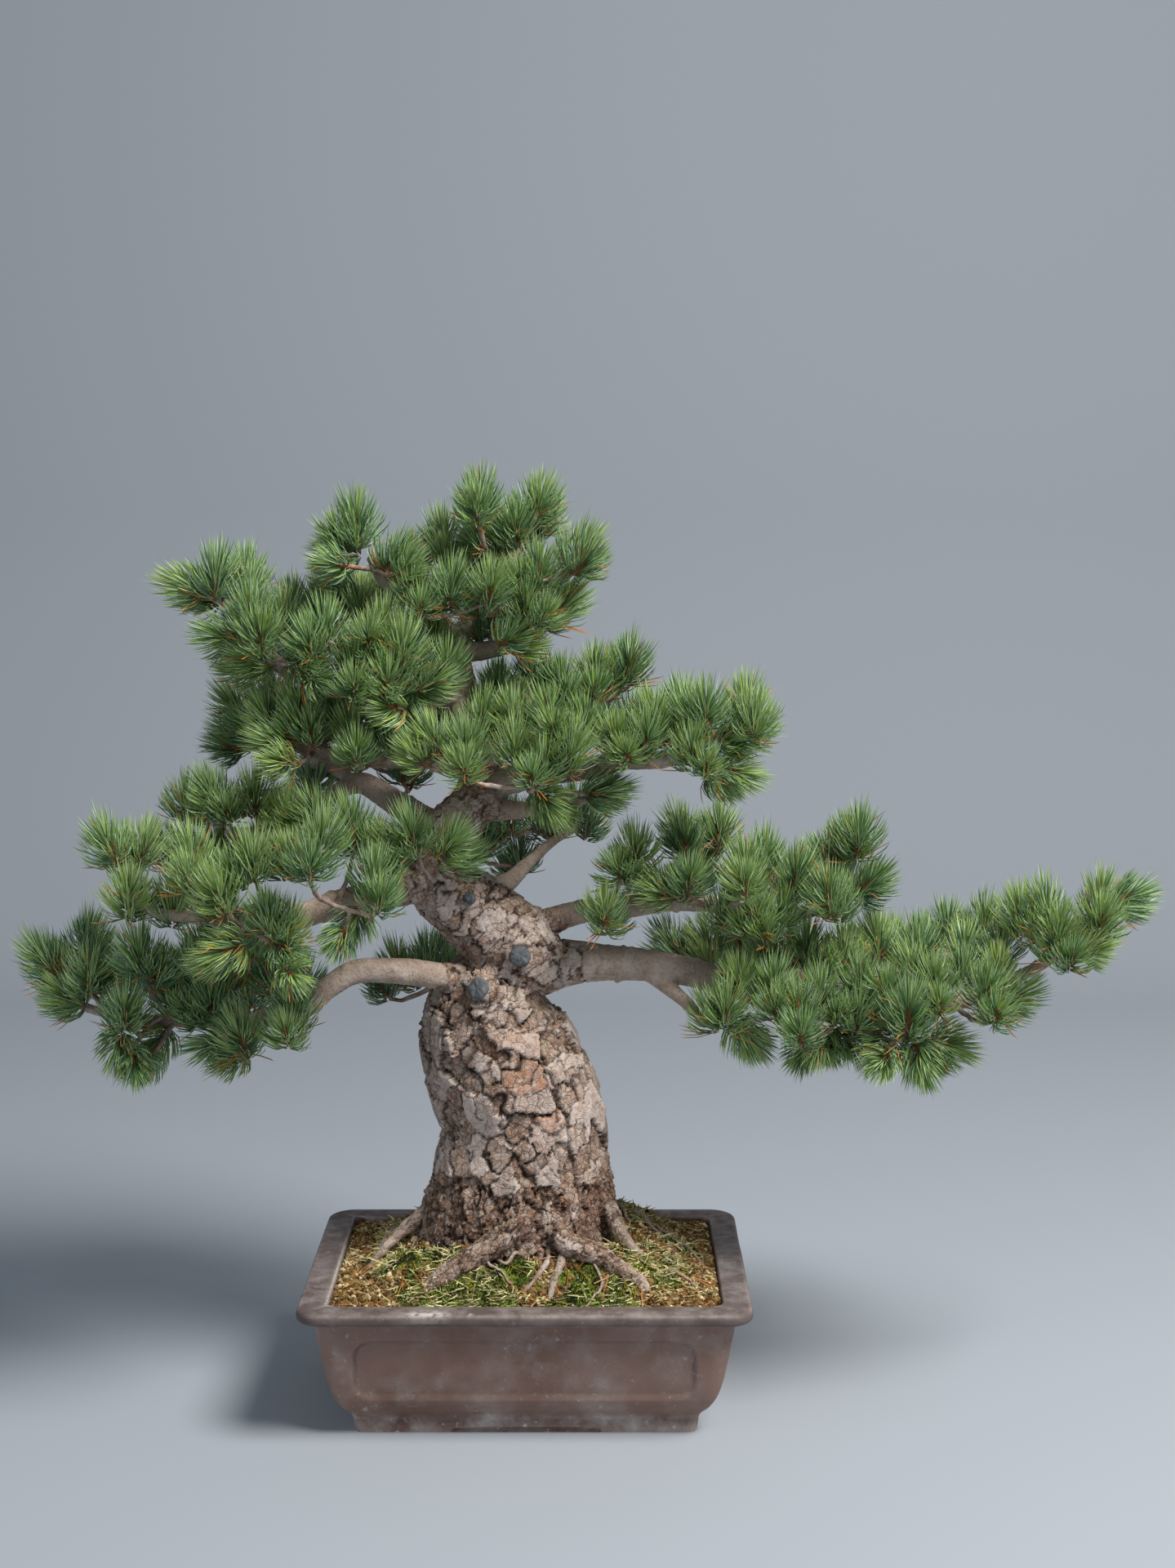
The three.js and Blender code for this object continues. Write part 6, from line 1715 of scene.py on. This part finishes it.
class BONSAI_OT_paste(Operator):
    """Makes the dried wound paste on the pruning cuts and finishes the drain mesh"""
    bl_idname = "bonsai.paste"
    bl_label = "Wound paste and drain mesh"

    def execute(self, context):
        look = context.scene.bonsai.paste
        material = paste_material(look)
        for name, (place, facing, radius) in CUTS.items():
            shape = Shape()
            shape.add(*paste_dome(np.array(place, float), unit(facing), radius), smooth=True)
            settle(shape.piece(f"dried_paste_{name}", [material]), "cut_paste", f"cut_paste_{name}")
        plastic = mesh_material(look)
        for side in ("left", "right"):
            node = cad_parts[f"drain_screen_{side}"]
            node.material_slots[0].link = "OBJECT"
            node.material_slots[0].material = plastic
        return {"FINISHED"}


# Rings of a dab of paste, from its rim to its crown: share of its radius and height.
PASTE_RINGS = [(0.8, -1.0), (1.0, -0.6), (1.04, 0.3), (0.99, 1.3), (0.86, 2.1), (0.66, 2.7), (0.42, 3.0),
               (0.18, 3.1)]
PASTE_SIDES = 40


def paste_dome(place, facing, radius):
    """A cushion of paste with a wavy rim and a hand-smeared crown."""
    side = unit(np.cross(facing, [0.3, 0.2, 1.0]))
    across = np.cross(facing, side)
    rings = []
    for share, lift in PASTE_RINGS:
        ring = []
        for angle in 2 * math.pi * np.arange(PASTE_SIDES) / PASTE_SIDES:
            spot = Vector((math.cos(angle) * share, math.sin(angle) * share, place[2] * 0.1)) * 1.7
            wave = 1 + 0.2 * noise.noise(spot)
            high = lift * 1.5 + 1.5 * noise.noise(spot * 1.9) * (lift > 0)
            outward = math.cos(angle) * side + math.sin(angle) * across
            ring.append(place + radius * share * wave * outward + facing * high)
        rings.append(ring)
    return closed_rings(np.array(rings))


# ---- sprays of needles ----


def limb_points(route):
    return spline(route, 8)[:, :3]


def leaving_point(points, target):
    """Where a twig leaves its limb: a little before the point nearest to its tuft."""
    distances = np.linalg.norm(points - target, axis=1)
    nearest = int(np.argmin(distances))
    index = nearest
    while index > 0 and np.linalg.norm(points[index] - points[nearest]) < 0.35 * distances[nearest]:
        index -= 1
    return points[index]


def tuft_of(row, limb_y, draw):
    """A tuft's place, the way it points and its size."""
    x, y, z, size, *lean = row
    lean_x, lean_z = lean if lean else (0, 1)
    way = unit([lean_x, min(max((y - limb_y) / 60, -0.4), 0.4), lean_z])
    nod = np.array([2 * draw() - 1, 2 * draw() - 1, 2 * draw() - 1])
    return {"place": np.array([x, y, z], float), "up": unit(way + TUFT_NOD * nod), "size": size}


def bend_twig(start, tuft, steps=14):
    """A twig that leaves its limb and rises into its tuft."""
    span = np.linalg.norm(tuft["place"] - start)
    bend = tuft["place"] - tuft["up"] * 0.4 * span
    t = np.linspace(0, 1, steps)[:, None]
    return (1 - t) ** 2 * start + 2 * t * (1 - t) * bend + t ** 2 * tuft["place"]


def lay_twigs(limb, tufts):
    """Twigs of one spray: the longest leaves the limb, the others leave the nearest twig."""
    start = leaving_point(limb, tufts[0]["place"])
    order = sorted(tufts, key=lambda tuft: -np.linalg.norm(tuft["place"] - start))
    root = leaving_point(limb, order[0]["place"])
    twigs = []
    for tuft in order:
        begin, nearest = root, math.inf
        for twig in twigs:
            stations = twig["places"][2:-2]
            distances = np.linalg.norm(stations - tuft["place"], axis=1)
            if distances.min() < nearest:
                nearest = distances.min()
                begin = stations[int(np.argmin(distances))]
        thick = TWIG_ROOT_RADIUS if not twigs else 0.5 * (TWIG_ROOT_RADIUS + TWIG_TIP_RADIUS)
        twigs.append({"tuft": tuft, "places": bend_twig(begin, tuft), "thick": thick})
    return twigs


TWIG_SIDES = 7
# The bud at the end of a twig: ways past the tuft's place, and radii.
BUD_STATIONS = np.array([[4.0], [8.0], [11.0], [14.0], [16.0]])
BUD_RADII = [1.7, 1.6, 1.8, 1.5, 0.3]


def grow_twig(shape, twig, draws):
    """Scaly young wood that ends in a bud."""
    tuft = twig["tuft"]
    places = twig["places"].copy()
    places[1:-1] += draws.normal(0, 0.5, (len(places) - 2, 3))
    wood = len(places)
    places = np.vstack([places, tuft["place"] + tuft["up"] * BUD_STATIONS * tuft["size"]])
    radii = np.concatenate([np.linspace(twig["thick"], TWIG_TIP_RADIUS, wood), BUD_RADII])
    radii[:-1] *= draws.uniform(0.88, 1.14, len(radii) - 1)
    points, triangles = closed_rings(tube_rings(places, radii, TWIG_SIDES))
    back = np.linalg.norm(places - tuft["place"], axis=1)
    youth = np.where(np.arange(len(places)) >= wood, 1.0, smooth_step(26, 4, back) * 0.85)
    youth = np.clip(youth + draws.normal(0, 0.08, len(youth)), 0, 1)
    scale = draws.uniform(0.35, 1.0, (len(places), TWIG_SIDES))
    youth = np.repeat(youth, TWIG_SIDES)
    tone = np.column_stack([youth, scale.ravel(), np.zeros(len(youth)), np.ones(len(youth))])
    shape.add(points, triangles, np.vstack([tone, tone[0], tone[-1]]), material=1, smooth=True)


# How far a bundle leans off its shoot, in radians, from the lowest bundles to the highest.
TILT_SHARES = (0, 0.35, 0.7, 1)
TILTS = (1.52, 1.15, 0.76, 0.12)


def grow_tuft(shape, tuft, look, draws, youth):
    """Bundles of five needles that fan out and curve up round the end of a shoot."""
    up = tuft["up"]
    side = unit(np.cross(up, [0.31, 0.95, 0.05]))
    across = np.cross(up, side)
    count = int(look.bundles * (0.4 + 0.6 * tuft["size"]))
    share = (np.arange(count) + draws.random(count)) / count
    turn = GOLDEN_ANGLE * np.arange(count) + draws.normal(0, 0.3, count)
    tilt = np.interp(share, TILT_SHARES, TILTS) + draws.normal(0, 0.12, count)
    outward = np.cos(turn)[:, None] * side + np.sin(turn)[:, None] * across
    way = np.sin(tilt)[:, None] * outward + np.cos(tilt)[:, None] * up
    root = (tuft["place"] + outward * draws.uniform(0.8, 2.0, count)[:, None]
            + up * (np.interp(share, [0, 1], [-14, 11]) * tuft["size"])[:, None])
    first = unit(np.cross(way, draws.normal(size=way.shape)))
    second = np.cross(way, first)
    phase = draws.uniform(0, 2 * math.pi, count)
    spread = draws.uniform(0.14, 0.3, count)
    length = look.length / MM * tuft["size"] ** 0.6 * draws.uniform(0.84, 1.08, count)
    yellow = draws.random() ** 2 * 0.65 - 0.08
    # Tufts further back are drawn bluer and darker as painted shade.
    depth = np.clip((tuft["place"][1] + 60) / 160, 0, 1)
    age_and_shade = 0.6 + yellow - 0.5 * depth + youth
    for rings, mine in ((CURVED_RINGS, share < 0.5), (STRAIGHT_RINGS, share >= 0.5)):
        for number in range(5):
            angle = phase[mine] + 2 * math.pi * number / 5
            outer = np.cos(angle)[:, None] * first[mine] + np.sin(angle)[:, None] * second[mine]
            add_needles(shape, rings, root[mine], way[mine], outer, up, spread[mine], length[mine],
                        share[mine], age_and_shade, look, draws)


# Rings of a curved and of a nearly straight needle: their share of its length and of its full
# width. A needle's tip is one point.
CURVED_RINGS = ((0.0, 0.8), (0.4, 1.0), (0.8, 0.9))
STRAIGHT_RINGS = ((0.0, 0.8), (0.6, 1.0))


def add_needles(shape, rings, root, way, outer, up, spread, length, share, age_and_shade, look, draws):
    """One needle of every bundle of a tuft, closed and three-sided, with its flat back outwards."""
    count = len(root)
    begin = unit(way + spread[:, None] * outer)
    lift = (draws.uniform(0.35, 0.8, count) + 1.55 * (1 - share))[:, None]
    stray = draws.normal(0, 0.12, (count, 3))
    end = unit(begin + lift * up + 0.2 * np.array([0, 0, 1.0]) - 0.15 * outer + stray)
    withered = (draws.random(count) < 0.015 + 0.11 * (share < 0.17)).astype(float)
    end = unit(end - withered[:, None] * np.array([0, 0, 0.7]))
    reach = length * draws.uniform(0.9, 1.05, count) * (1 + 0.1 * np.linalg.norm(end - begin, axis=1))
    stations = np.array([station for station, _ in rings] + [1.0])
    centre = (root[:, None] + reach[:, None, None] * (begin[:, None] * stations[:, None]
              + 0.5 * (end - begin)[:, None] * stations[:, None] ** 2))
    along = unit(begin[:, None] + (end - begin)[:, None] * stations[:-1, None])
    back = unit(outer[:, None] - along * np.sum(outer[:, None] * along, axis=2, keepdims=True))
    flank = np.cross(along, back)
    width = look.width / MM * np.array([wide for _, wide in rings])[None, :, None]
    corners = np.stack([centre[:, :-1] + 0.5 * width * flank + 0.18 * width * back,
                        centre[:, :-1] - 0.5 * width * flank + 0.18 * width * back,
                        centre[:, :-1] - 0.42 * width * back], axis=2)
    points = np.concatenate([corners.reshape(count, -1, 3), centre[:, -1:]], axis=1)
    size = points.shape[1]
    faces, inner = needle_faces(len(rings))
    own = draws.random(count)
    # Lower, outer needles are drawn darker and bluer as painted shade, and the upper ones lighter as
    # painted light.
    needle_age_and_shade = np.clip(age_and_shade + 0.5 * (share - 0.55) + draws.normal(0, 0.12, count), 0, 1)
    way_along = np.tile(np.append(np.repeat(stations[:-1], 3), 1.0), count)
    needle_age_and_shade, own, withered = (np.repeat(values, size) for values in (needle_age_and_shade, own, withered))
    tone = np.column_stack([needle_age_and_shade, way_along, own, withered])
    shape.add(points, repeated(faces, size, count), tone, np.tile(inner, count))


def needle_faces(count):
    """Triangles of one needle, and which of them are its waxy inner faces."""
    faces, inner = [[0, 2, 1]], [0]
    last = 3 * (count - 1)
    for ring in range(0, last, 3):
        for a, b, waxy in ((0, 1, 0), (1, 2, 1), (2, 0, 1)):
            faces += [[ring + a, ring + b, ring + b + 3], [ring + a, ring + b + 3, ring + a + 3]]
            inner += [waxy, waxy]
    for a, b, waxy in ((0, 1, 0), (1, 2, 1), (2, 0, 1)):
        faces.append([last + a, last + b, last + 3])
        inner.append(waxy)
    return np.array(faces), np.array(inner, float)


def side_shoots(tufts, draws):
    """A smaller tuft beside each main one, mostly in front of it or behind it."""
    shoots = []
    for tuft in tufts:
        turn = draws.uniform(0, 2 * math.pi)
        away = np.array([15 * math.cos(turn), 27 * math.sin(turn), draws.uniform(-16, -5)])
        up = unit(tuft["up"] + 0.35 * unit(away * [1, 1, 0]))
        size = tuft["size"] * draws.uniform(0.68, 0.86)
        shoots.append({"place": tuft["place"] + away, "up": up, "size": size})
    return shoots


# How much bluer than the rest the needles of the lowest limb on the left are drawn.
LOW_LEFT_TINT = -0.16


class BONSAI_OT_sprays(Operator):
    """Makes the leafy sprays: young twigs, buds and tufts of five-needle bundles"""
    bl_idname = "bonsai.sprays"
    bl_label = "Sprays of needles"

    def execute(self, context):
        look = context.scene.bonsai.needles
        materials = [foliage_material("needles"), foliage_material("twigs")]
        routes = {**LIMBS, "leader": LEADER}
        for number, (title, rows) in enumerate(SPRAYS.items(), start=1):
            name, limb_name = title.split(" on ")
            draw = seeded(SEED * 100 + number)
            draws = np.random.default_rng(SEED * 100 + number)
            limb = limb_points(routes[limb_name])
            tufts = [tuft_of(row, leaving_point(limb, np.array(row[:3], float))[1], draw) for row in rows]
            shape = Shape()
            youth = LOW_LEFT_TINT if name.startswith("low_left") else 0.0
            for twig in lay_twigs(limb, tufts + side_shoots(tufts, draws)):
                grow_twig(shape, twig, draws)
                grow_tuft(shape, twig["tuft"], look, draws, youth)
            settle(shape.piece(f"needles_{name}", materials), "needles", f"spray_{name}")
        return {"FINISHED"}


# ---- stage ----

CAMERA_PLACE = (55, -2051, 833)
CAMERA_PITCH = 7.326             # degrees below the horizon
LIGHT_AIM = (0.0, 0.0, 0.45)
KEY_PLACE = (1.45, -1.2, 2.75)
FILL_PLACE = (-2.2, -1.4, 1.3)
SKY_COLOUR = (0.82, 0.9, 1.0)
FLOOR_REACH = 6.0
WALL_DISTANCE = 1.6
WALL_HEIGHT = 4.0
SWEEP_RADIUS = 0.8


def studio_sweep():
    """A floor that curves up into the backdrop, as one sheet."""
    profile = [[-FLOOR_REACH, 0], [0, 0]]
    angles = np.linspace(0, math.pi / 2, 24)
    profile += [[WALL_DISTANCE + SWEEP_RADIUS * math.sin(a), SWEEP_RADIUS * (1 - math.cos(a))]
                for a in angles]
    profile.append([WALL_DISTANCE + SWEEP_RADIUS, WALL_HEIGHT])
    points = [[x, y, z] for y, z in profile for x in (-FLOOR_REACH, FLOOR_REACH)]
    faces = [[2 * i, 2 * i + 1, 2 * i + 3, 2 * i + 2] for i in range(len(profile) - 1)]
    return points, faces


def area_light(name, place, power, size, colour):
    """A round lamp that shines at the middle of the tree."""
    light = bpy.data.lights.new(name, "AREA")
    light.shape = "DISK"
    light.size = size
    light.energy = power
    light.color = colour
    lamp = bpy.data.objects.new(name, light)
    lamp.location = place
    lamp.rotation_euler = (Vector(LIGHT_AIM) - Vector(place)).to_track_quat("-Z", "Y").to_euler()
    bpy.context.scene.collection.objects.link(lamp)


class BONSAI_OT_stage(Operator):
    """Makes the floor and backdrop, the soft light and the camera"""
    bl_idname = "bonsai.stage"
    bl_label = "Stage"

    def execute(self, context):
        look = context.scene.bonsai.stage
        scene = context.scene
        material, tree, inputs = new_material("studio_paper")
        finish(tree, inputs, look.floor[:], 0.9, None, 0.2)
        points, faces = studio_sweep()
        sweep = show(mesh_of("studio_floor", points, faces), [material])
        sweep.data.shade_smooth()
        world = bpy.data.worlds.new("studio")
        world.use_nodes = True
        sky = world.node_tree.nodes["Background"].inputs
        sky["Color"].default_value = (*SKY_COLOUR, 1)
        sky["Strength"].default_value = look.sky
        scene.world = world
        scene.view_settings.view_transform = "Standard"
        scene.view_settings.look = "None"
        area_light("key", KEY_PLACE, look.key, 1.3, (1.0, 0.97, 0.93))
        area_light("fill", FILL_PLACE, look.fill, 1.8, (0.88, 0.94, 1.0))
        camera = bpy.data.cameras.new("camera")
        camera.lens = look.lens
        camera.sensor_width = 36.0
        camera.clip_end = 50.0
        seen_from = bpy.data.objects.new("camera", camera)
        seen_from.location = to_frame(CAMERA_PLACE)
        seen_from.rotation_euler = (math.radians(90 - CAMERA_PITCH), 0, 0)
        scene.collection.objects.link(seen_from)
        scene.camera = seen_from
        return {"FINISHED"}


# ---- add-on ----

STEPS = (BONSAI_OT_stage, BONSAI_OT_pot, BONSAI_OT_soil, BONSAI_OT_wood, BONSAI_OT_paste, BONSAI_OT_sprays)


class BONSAI_PT_panel(Panel):
    """Lists the steps that make the tree, and their settings"""
    bl_idname = "BONSAI_PT_panel"
    bl_label = "Bonsai Pine"
    bl_space_type = "VIEW_3D"
    bl_region_type = "UI"
    bl_category = "Bonsai"

    def draw(self, context):
        for step in STEPS:
            self.layout.operator(step.bl_idname)
        settings = context.scene.bonsai
        for part in ("pot", "soil", "bark", "needles", "paste", "stage"):
            box = self.layout.box()
            group = getattr(settings, part)
            for name in group.__annotations__:
                box.prop(group, name)


CLASSES = (PotSettings, SoilSettings, BarkSettings, NeedleSettings, PasteSettings, StageSettings,
           BonsaiSettings, *STEPS, BONSAI_PT_panel)


def register():
    for item in CLASSES:
        bpy.utils.register_class(item)
    bpy.types.Scene.bonsai = PointerProperty(name="Bonsai", description="Settings of the pine",
                                             type=BonsaiSettings)


def unregister():
    del bpy.types.Scene.bonsai
    for item in reversed(CLASSES):
        bpy.utils.unregister_class(item)


def main():
    register()
    bpy.ops.bonsai.stage()
    bpy.ops.bonsai.pot()
    bpy.ops.bonsai.soil()
    bpy.ops.bonsai.wood()
    bpy.ops.bonsai.paste()
    bpy.ops.bonsai.sprays()
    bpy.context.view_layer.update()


if __name__ == "__main__":
    main()
